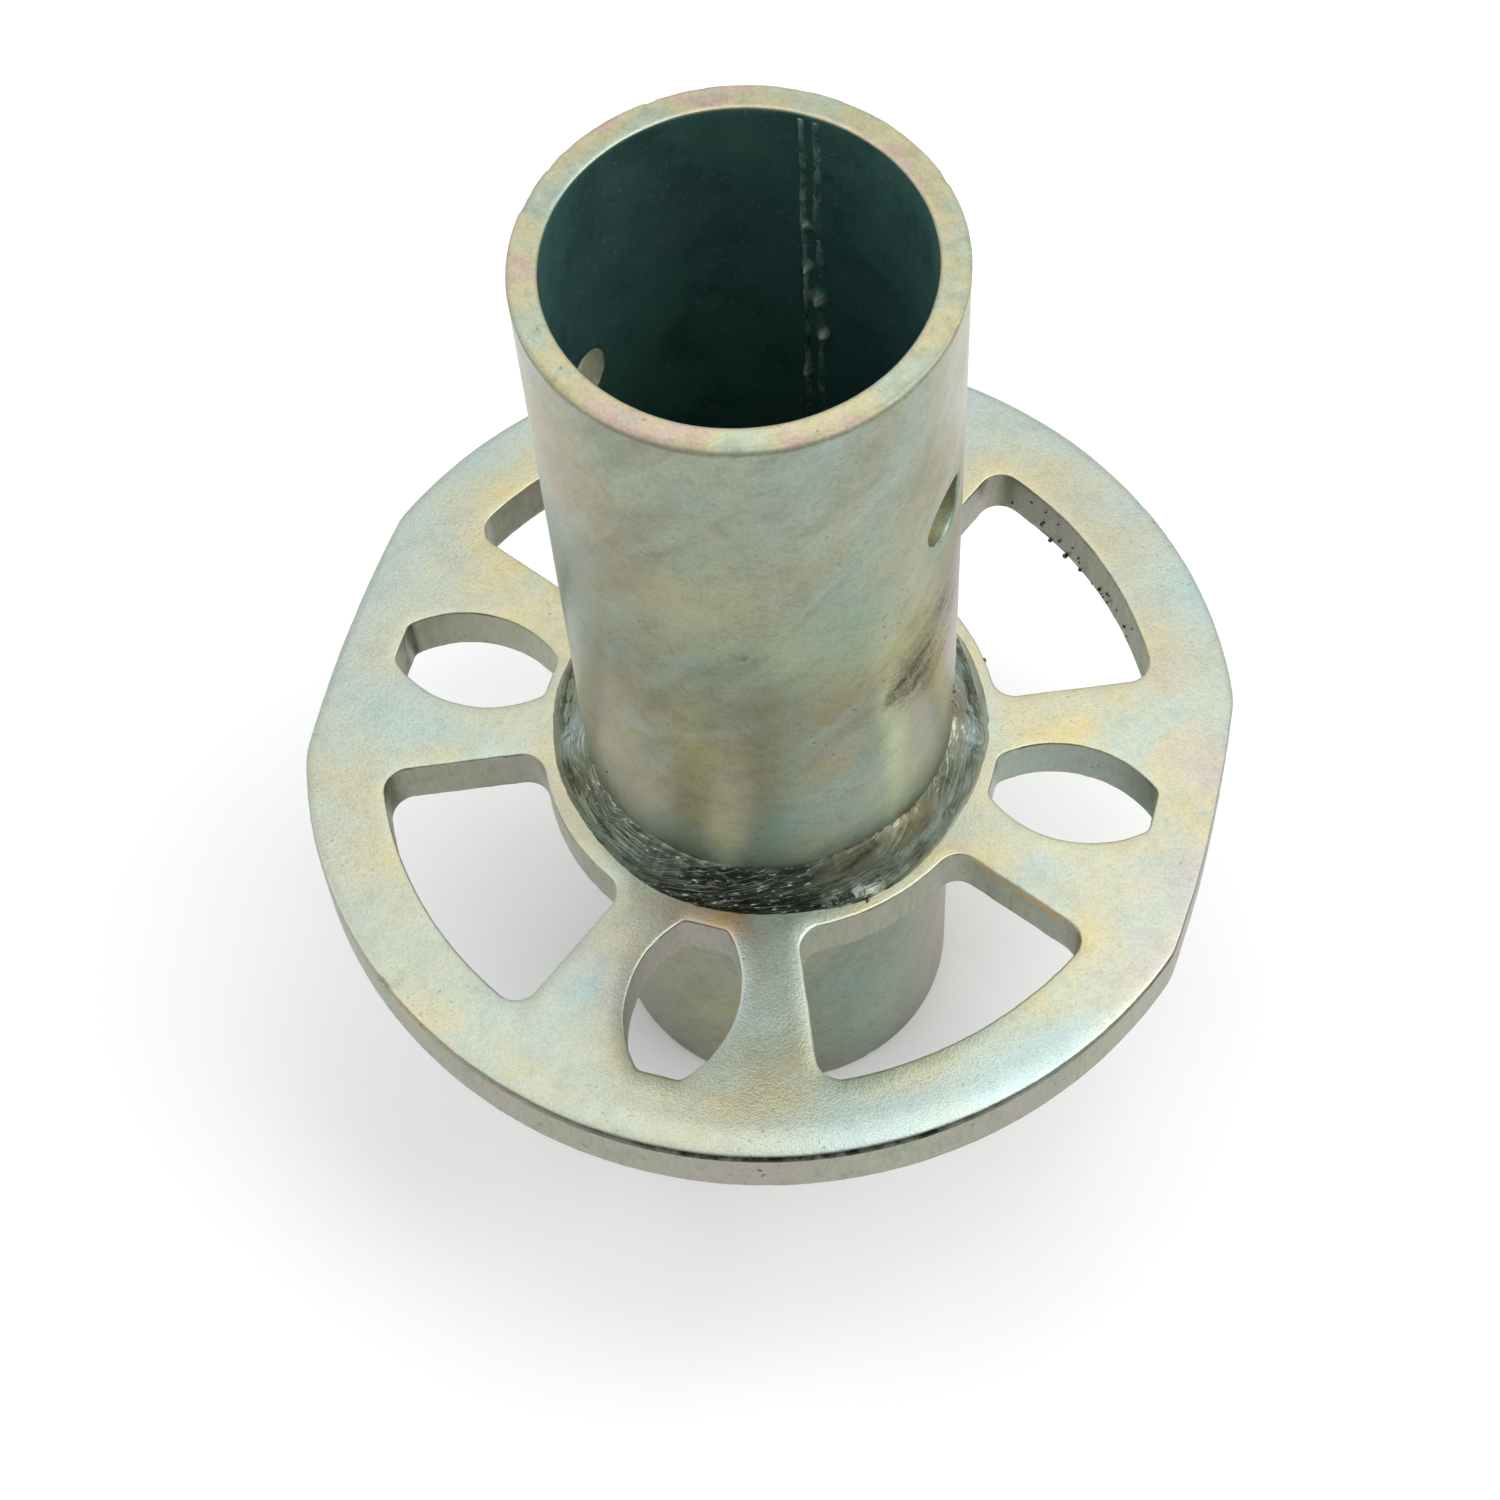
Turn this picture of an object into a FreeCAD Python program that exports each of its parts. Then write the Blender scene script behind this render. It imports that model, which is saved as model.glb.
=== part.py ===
import FreeCAD, Part
import math
import os
import Sketcher

# Welded steel base collar: one straight tube through a punched disc, held by a
# ring fillet weld above and below. Millimetres. The origin is the centre of the
# tube's lower end, +Z runs up the tube and +X runs along one lens slot.

V = FreeCAD.Vector
doc = FreeCAD.newDocument("base_collar")

# ---------------------------------------------------------------- dimensions
DIMS = [
    ("tube_outer_diameter", 48.3, "outside diameter of the tube"),
    ("tube_wall_thickness", 3.4, "wall of the tube"),
    ("tube_length", 158.0, "whole length of the tube"),
    ("tube_outer_edge_round", 0.6, "rounding of the tube's outer end edges"),
    ("tube_inner_edge_round", 0.3, "rounding of the tube's inner end edges"),
    ("lock_hole_diameter", 8.5, "hole through both tube walls"),
    ("lock_hole_height", 126.0, "lock hole axis above the tube's lower end"),
    ("lock_hole_turn", -9.0, "lock hole axis turned about the tube from a slot, degrees"),
    ("lock_hole_edge_round", 0.45, "rounding of the lock hole's outer edges"),
    ("disc_underside_height", 54.0, "underside of the disc above the tube's lower end"),
    ("disc_thickness", 8.0, "thickness of the disc"),
    ("disc_diameter", 123.0, "diameter of the disc away from its two flats"),
    ("flat_distance", 59.4, "axis to the middle of each bowed flat"),
    ("flat_bow_radius", 190.0, "radius of each bowed flat"),
    ("disc_corner_radius", 9.0, "rounding where a flat meets the rim"),
    ("disc_top_round", 1.9, "rolled top edge of the rim"),
    ("disc_bottom_bevel", 0.3, "bevel of the rim's lower edge"),
    ("slot_inner_reach", 30.4, "axis to the inner end of a lens slot"),
    ("slot_outer_reach", 51.3, "axis to the outer end of a lens slot"),
    ("slot_middle_reach", 40.8, "axis to the widest place of a lens slot"),
    ("slot_arc_radius", 15.3, "radius of a lens slot's long sides"),
    ("slot_half_width", 6.9, "half of a lens slot's greatest width"),
    ("slot_corner_radius", 1.3, "rounding of a lens slot's corners"),
    ("window_inner_radius", 30.3, "inner radius of a wedge window"),
    ("window_outer_radius", 51.1, "outer radius of a wedge window"),
    ("window_first_angle", 22.5, "first side of a wedge window from a slot axis, degrees"),
    ("window_last_angle", 67.5, "last side of a wedge window from a slot axis, degrees"),
    ("window_corner_radius", 3.0, "rounding of a wedge window's corners"),
    ("hole_top_round", 0.8, "rolled top edges of the slots and windows"),
    ("hole_bottom_bevel", 0.25, "bevel of the slots' and windows' lower edges"),
    ("upper_weld_height", 5.6, "upper weld's leg up the tube"),
    ("upper_weld_reach", 4.4, "upper weld's leg along the disc"),
    ("upper_weld_face_radius", 9.0, "radius of the upper weld's bowed face"),
    ("lower_weld_height", 5.0, "lower weld's leg down the tube"),
    ("lower_weld_reach", 4.4, "lower weld's leg along the disc"),
    ("lower_weld_face_radius", 9.0, "radius of the lower weld's bowed face"),
]
sheet = doc.addObject("Spreadsheet::Sheet", "Dims")
D = {}
for row, (alias, value, words) in enumerate(DIMS, start=1):
    sheet.set("A%d" % row, words)
    sheet.set("B%d" % row, "%g" % value)
    sheet.setAlias("B%d" % row, alias)
    D[alias] = value
doc.recompute()


# ------------------------------------------------------------------- helpers
def origin_feature(body, role):
    for feature in body.Origin.OriginFeatures:
        if feature.Role == role:
            return feature
    raise RuntimeError("no origin feature " + role)


def new_body(name):
    body = doc.addObject("PartDesign::Body", name)
    body.Label = name
    return body


def new_sketch(body, name, role):
    sketch = body.newObject("Sketcher::SketchObject", name)
    sketch.AttachmentSupport = [(origin_feature(body, role), "")]
    sketch.MapMode = "FlatFace"
    return sketch


def bind(sketch, constraint, expression):
    """Add a dimensional constraint and drive it from the sheet."""
    index = sketch.addConstraint(constraint)
    sketch.setExpression("Constraints[%d]" % index, expression)
    return index


def settled(feature):
    doc.recompute()
    if "Invalid" in feature.State or "Error" in feature.State:
        raise RuntimeError("%s did not compute: %s" % (feature.Name, feature.State))
    if feature.Shape.isNull() or not feature.Shape.isValid():
        raise RuntimeError("%s has no valid shape" % feature.Name)
    return feature


def cut_through(body, name, sketch):
    """A pocket through the whole body, to both sides of its sketch."""
    before = body.Tip.Shape.Volume
    pocket = body.newObject("PartDesign::Pocket", name)
    pocket.Profile = sketch
    pocket.Type = "ThroughAll"
    pocket.Midplane = True
    settled(pocket)
    if not pocket.Shape.Volume < before - 1.0:
        raise RuntimeError("%s cut nothing" % name)
    return pocket


def repeated(body, name, feature, times):
    before = feature.Shape.Volume
    pattern = body.newObject("PartDesign::PolarPattern", name)
    pattern.Originals = [feature]
    pattern.Axis = (origin_feature(body, "Z_Axis"), [""])
    pattern.Angle = 360
    pattern.Occurrences = times
    body.Tip = pattern
    settled(pattern)
    if not pattern.Shape.Volume < before - 1.0:
        raise RuntimeError("%s repeated nothing" % name)
    return pattern


def edges_where(feature, test):
    """Names of a feature's edges whose sample points all pass a test of (x, y, z)."""
    shape = feature.Shape.copy()
    shape.Placement = FreeCAD.Placement()
    names = []
    for number, edge in enumerate(shape.Edges, start=1):
        first, last = edge.ParameterRange
        points = [edge.valueAt(first + (last - first) * k / 6.0) for k in range(7)]
        if all(test(p.x, p.y, p.z) for p in points):
            names.append("Edge%d" % number)
    return names


def dress(body, kind, name, base, names, prop, expression, count=None):
    """A fillet or chamfer on the named edges of a feature."""
    if not names or (count is not None and len(names) != count):
        raise RuntimeError("%s found %d edges" % (name, len(names)))
    feature = body.newObject("PartDesign::" + kind, name)
    feature.Base = (base, names)
    feature.setExpression(prop, expression)
    body.Tip = feature
    return settled(feature)


def near(a, b, tol=0.01):
    return abs(a - b) <= tol


# ---------------------------------------------------------------------- tube
tube = new_body("collar_tube")
ring = new_sketch(tube, "TubeSection", "XY_Plane")
outer = ring.addGeometry(Part.Circle(V(0, 0, 0), V(0, 0, 1), D["tube_outer_diameter"] / 2), False)
inner = ring.addGeometry(
    Part.Circle(V(0, 0, 0), V(0, 0, 1), D["tube_outer_diameter"] / 2 - D["tube_wall_thickness"]), False
)
ring.addConstraint(Sketcher.Constraint("Coincident", outer, 3, -1, 1))
ring.addConstraint(Sketcher.Constraint("Coincident", inner, 3, -1, 1))
bind(ring, Sketcher.Constraint("Radius", outer, D["tube_outer_diameter"] / 2), "Dims.tube_outer_diameter / 2")
bind(
    ring,
    Sketcher.Constraint("Radius", inner, D["tube_outer_diameter"] / 2 - D["tube_wall_thickness"]),
    "Dims.tube_outer_diameter / 2 - Dims.tube_wall_thickness",
)
doc.recompute()
drawn = tube.newObject("PartDesign::Pad", "TubePad")
drawn.Profile = ring
drawn.Length = D["tube_length"]
drawn.setExpression("Length", "Dims.tube_length")
settled(drawn)

# The lock hole's axis lies across the tube, turned a little from a slot of the disc.
lock = new_sketch(tube, "LockHoleSketch", "YZ_Plane")
lock.AttachmentOffset = FreeCAD.Placement(V(0, 0, 0), FreeCAD.Rotation(V(0, 1, 0), D["lock_hole_turn"]))
lock.setExpression("AttachmentOffset.Rotation.Angle", "Dims.lock_hole_turn")
drill = lock.addGeometry(
    Part.Circle(V(0, D["lock_hole_height"], 0), V(0, 0, 1), D["lock_hole_diameter"] / 2), False
)
lock.addConstraint(Sketcher.Constraint("PointOnObject", drill, 3, -2))
bind(lock, Sketcher.Constraint("DistanceY", -1, 1, drill, 3, D["lock_hole_height"]), "Dims.lock_hole_height")
bind(lock, Sketcher.Constraint("Radius", drill, D["lock_hole_diameter"] / 2), "Dims.lock_hole_diameter / 2")
doc.recompute()
drilled = cut_through(tube, "LockHole", lock)

R_OUT = D["tube_outer_diameter"] / 2
R_IN = R_OUT - D["tube_wall_thickness"]
LENGTH = D["tube_length"]
mouths = edges_where(
    drilled,
    lambda x, y, z: near(math.hypot(x, y), R_OUT, 0.02)
    and abs(z - D["lock_hole_height"]) < D["lock_hole_diameter"] / 2 + 0.1
    and math.hypot(x, y) > R_IN + 1
    and near(
        math.hypot(
            z - D["lock_hole_height"],
            -x * math.sin(math.radians(D["lock_hole_turn"])) + y * math.cos(math.radians(D["lock_hole_turn"])),
        ),
        D["lock_hole_diameter"] / 2,
        0.02,
    ),
)
eased = dress(tube, "Fillet", "LockHoleMouths", drilled, mouths, "Radius", "Dims.lock_hole_edge_round")
rims = edges_where(
    eased, lambda x, y, z: near(math.hypot(x, y), R_OUT) and (near(z, 0) or near(z, LENGTH))
)
rimmed = dress(tube, "Fillet", "OuterEndEdges", eased, rims, "Radius", "Dims.tube_outer_edge_round")
lips = edges_where(
    rimmed, lambda x, y, z: near(math.hypot(x, y), R_IN) and (near(z, 0) or near(z, LENGTH))
)
dress(tube, "Fillet", "InnerEndEdges", rimmed, lips, "Radius", "Dims.tube_inner_edge_round")

# ------------------------------------------------------------------- rosette
rosette = new_body("rosette")
rosette.Placement = FreeCAD.Placement(V(0, 0, D["disc_underside_height"]), FreeCAD.Rotation())
rosette.setExpression("Placement.Base.z", "Dims.disc_underside_height")
disc = new_sketch(rosette, "DiscSketch", "XY_Plane")
rim = disc.addGeometry(Part.Circle(V(0, 0, 0), V(0, 0, 1), D["disc_diameter"] / 2), False)
disc.addConstraint(Sketcher.Constraint("Coincident", rim, 3, -1, 1))
bind(disc, Sketcher.Constraint("Radius", rim, D["disc_diameter"] / 2), "Dims.disc_diameter / 2")
doc.recompute()
blank = rosette.newObject("PartDesign::Pad", "DiscBlank")
blank.Profile = disc
blank.Length = D["disc_thickness"]
blank.setExpression("Length", "Dims.disc_thickness")
settled(blank)

# Two opposite flats, across the slots on the X axis. Each is the inside of a large
# circle: a ring outside that circle is cut away.
bow = new_sketch(rosette, "FlatSketch", "XY_Plane")
bow_centre = V(D["flat_distance"] - D["flat_bow_radius"], 0, 0)
keep = bow.addGeometry(Part.Circle(bow_centre, V(0, 0, 1), D["flat_bow_radius"]), False)
away = bow.addGeometry(Part.Circle(bow_centre, V(0, 0, 1), D["flat_bow_radius"] + 30), False)
bow.addConstraint(Sketcher.Constraint("PointOnObject", keep, 3, -1))
bow.addConstraint(Sketcher.Constraint("Coincident", away, 3, keep, 3))
bind(
    bow,
    Sketcher.Constraint("DistanceX", keep, 3, -1, 1, D["flat_bow_radius"] - D["flat_distance"]),
    "Dims.flat_bow_radius - Dims.flat_distance",
)
bind(bow, Sketcher.Constraint("Radius", keep, D["flat_bow_radius"]), "Dims.flat_bow_radius")
bind(bow, Sketcher.Constraint("Radius", away, D["flat_bow_radius"] + 30), "Dims.flat_bow_radius + 30")
doc.recompute()
flat = cut_through(rosette, "Flat", bow)
flats = repeated(rosette, "Flats", flat, 2)

# A lens slot: two long arcs cut off by blunt ends, its length along a radius.
lens = new_sketch(rosette, "SlotSketch", "XY_Plane")
lens_r, lens_x = D["slot_arc_radius"], D["slot_middle_reach"]
lens_drop = lens_r - D["slot_half_width"]


def lens_point(x, side):
    """Where a long side of the slot crosses an end line."""
    return V(x, side * (math.sqrt(lens_r**2 - (x - lens_x) ** 2) - lens_drop), 0)


def lens_arc(side):
    centre = V(lens_x, -side * lens_drop, 0)
    a = lens_point(D["slot_outer_reach"], side) - centre
    b = lens_point(D["slot_inner_reach"], side) - centre
    start, end = math.atan2(a.y, a.x), math.atan2(b.y, b.x)
    if side < 0:
        start, end = end, start
    return Part.ArcOfCircle(Part.Circle(centre, V(0, 0, 1), lens_r), start, end)


far_side = lens.addGeometry(lens_arc(1), False)
near_side = lens.addGeometry(lens_arc(-1), False)
inner_end = lens.addGeometry(
    Part.LineSegment(lens_point(D["slot_inner_reach"], 1), lens_point(D["slot_inner_reach"], -1)), False
)
outer_end = lens.addGeometry(
    Part.LineSegment(lens_point(D["slot_outer_reach"], -1), lens_point(D["slot_outer_reach"], 1)), False
)
lens.addConstraint(Sketcher.Constraint("Coincident", far_side, 2, inner_end, 1))
lens.addConstraint(Sketcher.Constraint("Coincident", inner_end, 2, near_side, 1))
lens.addConstraint(Sketcher.Constraint("Coincident", near_side, 2, outer_end, 1))
lens.addConstraint(Sketcher.Constraint("Coincident", outer_end, 2, far_side, 1))
lens.addConstraint(Sketcher.Constraint("Vertical", inner_end))
lens.addConstraint(Sketcher.Constraint("Vertical", outer_end))
bind(lens, Sketcher.Constraint("Radius", far_side, lens_r), "Dims.slot_arc_radius")
bind(lens, Sketcher.Constraint("Radius", near_side, lens_r), "Dims.slot_arc_radius")
bind(lens, Sketcher.Constraint("DistanceX", -1, 1, far_side, 3, lens_x), "Dims.slot_middle_reach")
bind(lens, Sketcher.Constraint("DistanceX", -1, 1, near_side, 3, lens_x), "Dims.slot_middle_reach")
bind(
    lens,
    Sketcher.Constraint("DistanceY", far_side, 3, -1, 1, lens_drop),
    "Dims.slot_arc_radius - Dims.slot_half_width",
)
bind(
    lens,
    Sketcher.Constraint("DistanceY", -1, 1, near_side, 3, lens_drop),
    "Dims.slot_arc_radius - Dims.slot_half_width",
)
bind(
    lens, Sketcher.Constraint("DistanceX", -1, 1, inner_end, 1, D["slot_inner_reach"]), "Dims.slot_inner_reach"
)
bind(
    lens, Sketcher.Constraint("DistanceX", -1, 1, outer_end, 1, D["slot_outer_reach"]), "Dims.slot_outer_reach"
)
doc.recompute()
slot = cut_through(rosette, "Slot", lens)
slots = repeated(rosette, "Slots", slot, 4)

# A wedge window: part of a ring between two radial sides.
window = new_sketch(rosette, "WindowSketch", "XY_Plane")
w_in, w_out = D["window_inner_radius"], D["window_outer_radius"]
w_a, w_b = math.radians(D["window_first_angle"]), math.radians(D["window_last_angle"])


def polar(r, a):
    return V(r * math.cos(a), r * math.sin(a), 0)


outer_arc = window.addGeometry(Part.ArcOfCircle(Part.Circle(V(0, 0, 0), V(0, 0, 1), w_out), w_a, w_b), False)
inner_arc = window.addGeometry(Part.ArcOfCircle(Part.Circle(V(0, 0, 0), V(0, 0, 1), w_in), w_a, w_b), False)
first_side = window.addGeometry(Part.LineSegment(polar(w_in, w_a), polar(w_out, w_a)), False)
last_side = window.addGeometry(Part.LineSegment(polar(w_in, w_b), polar(w_out, w_b)), False)
window.addConstraint(Sketcher.Constraint("Coincident", outer_arc, 3, -1, 1))
window.addConstraint(Sketcher.Constraint("Coincident", inner_arc, 3, -1, 1))
window.addConstraint(Sketcher.Constraint("Coincident", inner_arc, 1, first_side, 1))
window.addConstraint(Sketcher.Constraint("Coincident", outer_arc, 1, first_side, 2))
window.addConstraint(Sketcher.Constraint("Coincident", inner_arc, 2, last_side, 1))
window.addConstraint(Sketcher.Constraint("Coincident", outer_arc, 2, last_side, 2))
window.addConstraint(Sketcher.Constraint("PointOnObject", -1, 1, first_side))
window.addConstraint(Sketcher.Constraint("PointOnObject", -1, 1, last_side))
bind(window, Sketcher.Constraint("Radius", outer_arc, w_out), "Dims.window_outer_radius")
bind(window, Sketcher.Constraint("Radius", inner_arc, w_in), "Dims.window_inner_radius")
bind(window, Sketcher.Constraint("Angle", first_side, w_a), "Dims.window_first_angle * 1 deg")
bind(window, Sketcher.Constraint("Angle", last_side, w_b), "Dims.window_last_angle * 1 deg")
doc.recompute()
opening = cut_through(rosette, "Window", window)
windows = repeated(rosette, "Windows", opening, 4)

THICK = D["disc_thickness"]


def upright(feature, test):
    """Names of the straight edges that run the disc's whole thickness."""
    shape = feature.Shape.copy()
    shape.Placement = FreeCAD.Placement()
    names = []
    for number, edge in enumerate(shape.Edges, start=1):
        a, b = edge.Vertexes[0].Point, edge.Vertexes[-1].Point
        if near(a.x, b.x) and near(a.y, b.y) and near(abs(a.z - b.z), THICK) and test(a.x, a.y):
            names.append("Edge%d" % number)
    return names


def on_slot_corner(x, y):
    x, y = max(abs(x), abs(y)), min(abs(x), abs(y))
    return any(
        near(x, end, 0.02) and near(y, lens_point(end, 1).y, 0.02)
        for end in (D["slot_inner_reach"], D["slot_outer_reach"])
    )


def on_window_corner(x, y):
    a = math.degrees(math.atan2(y, x)) % 90
    return (near(a, D["window_first_angle"], 0.05) or near(a, D["window_last_angle"], 0.05)) and (
        near(math.hypot(x, y), w_in, 0.02) or near(math.hypot(x, y), w_out, 0.02)
    )


def on_rim_corner(x, y):
    a = math.degrees(math.atan2(abs(y), abs(x)))
    return near(math.hypot(x, y), D["disc_diameter"] / 2, 0.02) and 8 < a < 40


names = upright(windows, on_rim_corner)
soft_rim = dress(rosette, "Fillet", "RimCorners", windows, names, "Radius", "Dims.disc_corner_radius", 4)
names = upright(soft_rim, on_window_corner)
soft_windows = dress(rosette, "Fillet", "WindowCorners", soft_rim, names, "Radius", "Dims.window_corner_radius", 16)
names = upright(soft_windows, on_slot_corner)
soft_slots = dress(rosette, "Fillet", "SlotCorners", soft_windows, names, "Radius", "Dims.slot_corner_radius", 16)

# Rolled edges above, small bevels below, as a punch leaves them.
top_rim = edges_where(soft_slots, lambda x, y, z: near(z, THICK) and math.hypot(x, y) > 56)
rolled = dress(rosette, "Fillet", "RolledRim", soft_slots, top_rim, "Radius", "Dims.disc_top_round")
top_holes = edges_where(rolled, lambda x, y, z: near(z, THICK) and 29 < math.hypot(x, y) < 53)
rolled_holes = dress(rosette, "Fillet", "RolledHoles", rolled, top_holes, "Radius", "Dims.hole_top_round")
low_rim = edges_where(rolled_holes, lambda x, y, z: near(z, 0) and math.hypot(x, y) > 56)
low = dress(rosette, "Chamfer", "LowerRim", rolled_holes, low_rim, "Size", "Dims.disc_bottom_bevel")
low_holes = edges_where(low, lambda x, y, z: near(z, 0) and 29 < math.hypot(x, y) < 53)
low_all = dress(rosette, "Chamfer", "LowerHoles", low, low_holes, "Size", "Dims.hole_bottom_bevel")

# The tube fills the disc's middle hole.
eye = new_sketch(rosette, "EyeSketch", "XY_Plane")
eye_circle = eye.addGeometry(Part.Circle(V(0, 0, 0), V(0, 0, 1), R_OUT), False)
eye.addConstraint(Sketcher.Constraint("Coincident", eye_circle, 3, -1, 1))
bind(eye, Sketcher.Constraint("Radius", eye_circle, R_OUT), "Dims.tube_outer_diameter / 2")
doc.recompute()
cut_through(rosette, "Eye", eye)


# --------------------------------------------------------------------- welds
def weld_ring(name, up, height, reach, face_radius, z_expression, z_value):
    """A ring fillet weld: a right-angled section with a bowed face, turned about the tube."""
    body = new_body(name)
    body.Placement = FreeCAD.Placement(V(0, 0, z_value), FreeCAD.Rotation())
    body.setExpression("Placement.Base.z", z_expression)
    section = new_sketch(body, name + "_section", "XZ_Plane")
    root = V(R_OUT, 0, 0)
    toe = V(R_OUT + D[reach], 0, 0)
    top = V(R_OUT, up * D[height], 0)
    chord = top - toe
    middle = (top + toe) * 0.5
    half = chord.Length / 2
    inward = V(-1, -up, 0)
    normal = V(chord.y, -chord.x, 0)
    normal.normalize()
    if normal.dot(inward) < 0:
        normal = normal * -1
    centre = middle + normal * math.sqrt(D[face_radius] ** 2 - half**2)
    a, b = toe - centre, top - centre
    start, end = math.atan2(a.y, a.x), math.atan2(b.y, b.x)
    if up < 0:
        start, end = end, start
    leg_out = section.addGeometry(Part.LineSegment(root, toe), False)
    leg_up = section.addGeometry(Part.LineSegment(top, root), False)
    face = section.addGeometry(
        Part.ArcOfCircle(Part.Circle(centre, V(0, 0, 1), D[face_radius]), start, end), False
    )
    at_toe, at_top = (1, 2) if up > 0 else (2, 1)
    section.addConstraint(Sketcher.Constraint("Coincident", leg_out, 1, leg_up, 2))
    section.addConstraint(Sketcher.Constraint("Coincident", leg_out, 2, face, at_toe))
    section.addConstraint(Sketcher.Constraint("Coincident", leg_up, 1, face, at_top))
    section.addConstraint(Sketcher.Constraint("PointOnObject", leg_out, 1, -1))
    section.addConstraint(Sketcher.Constraint("Horizontal", leg_out))
    section.addConstraint(Sketcher.Constraint("Vertical", leg_up))
    bind(section, Sketcher.Constraint("DistanceX", -1, 1, leg_out, 1, R_OUT), "Dims.tube_outer_diameter / 2")
    bind(section, Sketcher.Constraint("Distance", leg_out, D[reach]), "Dims." + reach)
    bind(section, Sketcher.Constraint("Distance", leg_up, D[height]), "Dims." + height)
    bind(section, Sketcher.Constraint("Radius", face, D[face_radius]), "Dims." + face_radius)
    doc.recompute()
    turned = body.newObject("PartDesign::Revolution", name + "_ring")
    turned.Profile = section
    turned.ReferenceAxis = (section, ["V_Axis"])
    turned.Angle = 360
    settled(turned)
    return body


upper = weld_ring(
    "upper_weld",
    1,
    "upper_weld_height",
    "upper_weld_reach",
    "upper_weld_face_radius",
    "Dims.disc_underside_height + Dims.disc_thickness",
    D["disc_underside_height"] + D["disc_thickness"],
)
lower = weld_ring(
    "lower_weld",
    -1,
    "lower_weld_height",
    "lower_weld_reach",
    "lower_weld_face_radius",
    "Dims.disc_underside_height",
    D["disc_underside_height"],
)

# ------------------------------------------------------------------- writing
doc.recompute()
for item in doc.Objects:
    if "Invalid" in item.State or "Error" in item.State:
        raise RuntimeError("%s is in state %s" % (item.Name, item.State))
os.makedirs("parts", exist_ok=True)
for body in (tube, rosette, upper, lower):
    shape = body.Shape
    if shape.isNull() or not shape.isValid() or len(shape.Solids) != 1:
        raise RuntimeError("%s is not one valid solid" % body.Label)
    shape.exportStep("parts/%s.step" % body.Label)
    box = shape.BoundBox
    print(
        "%-12s volume %.1f mm3  x %.2f..%.2f  y %.2f..%.2f  z %.2f..%.2f"
        % (body.Label, shape.Volume, box.XMin, box.XMax, box.YMin, box.YMax, box.ZMin, box.ZMax)
    )
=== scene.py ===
import math

import bmesh
import bpy
import numpy as np
from mathutils import Matrix, Vector
from mathutils.geometry import delaunay_2d_cdt

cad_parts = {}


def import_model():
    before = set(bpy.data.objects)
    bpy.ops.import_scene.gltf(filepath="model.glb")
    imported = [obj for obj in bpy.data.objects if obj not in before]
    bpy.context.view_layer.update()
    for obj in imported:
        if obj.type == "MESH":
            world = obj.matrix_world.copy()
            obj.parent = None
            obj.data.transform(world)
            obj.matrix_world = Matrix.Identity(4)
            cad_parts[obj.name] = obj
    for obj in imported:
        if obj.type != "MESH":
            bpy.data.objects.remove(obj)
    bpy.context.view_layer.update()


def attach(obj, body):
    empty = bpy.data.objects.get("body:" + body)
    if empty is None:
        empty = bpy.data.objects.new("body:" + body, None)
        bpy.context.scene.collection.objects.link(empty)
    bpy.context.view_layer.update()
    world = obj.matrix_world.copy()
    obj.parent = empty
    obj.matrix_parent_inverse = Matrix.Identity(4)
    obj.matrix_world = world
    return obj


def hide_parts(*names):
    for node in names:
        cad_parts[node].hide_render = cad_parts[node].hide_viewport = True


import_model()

MM = 0.001

# Sizes in mm, as in the CAD frame: Z runs up the tube, the disc is square to it.
TUBE_R, BORE_R, TUBE_H = 24.15, 20.75, 158.0
DISC_Z0, DISC_Z1 = 54.0, 62.0
HOLE_Z, HOLE_A, HOLE_R = 126.0, math.radians(-9.0), 4.25


# ---------------------------------------------------------------- noise

def lattice(ix, iy, iz, seed):
    h = (ix.astype(np.int64).astype(np.uint64) * np.uint64(374761393)
         + iy.astype(np.int64).astype(np.uint64) * np.uint64(668265263)
         + iz.astype(np.int64).astype(np.uint64) * np.uint64(1440662683)
         + np.uint64(seed * 1274126177 % 4294967291)) & np.uint64(0xFFFFFFFF)
    h = ((h ^ (h >> np.uint64(13))) * np.uint64(1274126177)) & np.uint64(0xFFFFFFFF)
    h = ((h ^ (h >> np.uint64(16))) * np.uint64(2246822519)) & np.uint64(0xFFFFFFFF)
    return (h ^ (h >> np.uint64(15))).astype(float) / 4294967295.0


def noise(x, y, z=0.0, seed=0):
    """Smooth value noise, -1 to 1."""
    x, y, z = np.broadcast_arrays(np.asarray(x, float), np.asarray(y, float), np.asarray(z, float))
    xi, yi, zi = np.floor(x), np.floor(y), np.floor(z)
    u, v, w = (f * f * f * (f * (f * 6 - 15) + 10) for f in (x - xi, y - yi, z - zi))
    total = 0.0
    for dx in (0, 1):
        for dy in (0, 1):
            for dz in (0, 1):
                k = (u if dx else 1 - u) * (v if dy else 1 - v) * (w if dz else 1 - w)
                total = total + k * lattice(xi + dx, yi + dy, zi + dz, seed)
    return total * 2 - 1


def fbm(x, y, z=0.0, seed=0, octaves=4, gain=0.5):
    total, amp, top = 0.0, 1.0, 0.0
    for k in range(octaves):
        f = 2.03 ** k
        total = total + amp * noise(np.asarray(x) * f, np.asarray(y) * f, np.asarray(z) * f, seed + 17 * k)
        top += amp
        amp *= gain
    return total / top


def around(theta, scale, other=0.0, seed=0, octaves=3, gain=0.5):
    """Noise that closes on itself round the axis."""
    return fbm(np.cos(theta) * scale, np.sin(theta) * scale, other, seed, octaves, gain)


def smooth(a, b, x):
    t = np.clip((np.asarray(x, float) - a) / (b - a), 0, 1)
    return t * t * (3 - 2 * t)


def turn(theta, centre):
    """Signed angle from centre, in degrees, for theta in radians."""
    return (np.degrees(theta) - centre + 180.0) % 360.0 - 180.0


# ---------------------------------------------------------------- meshes

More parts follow.
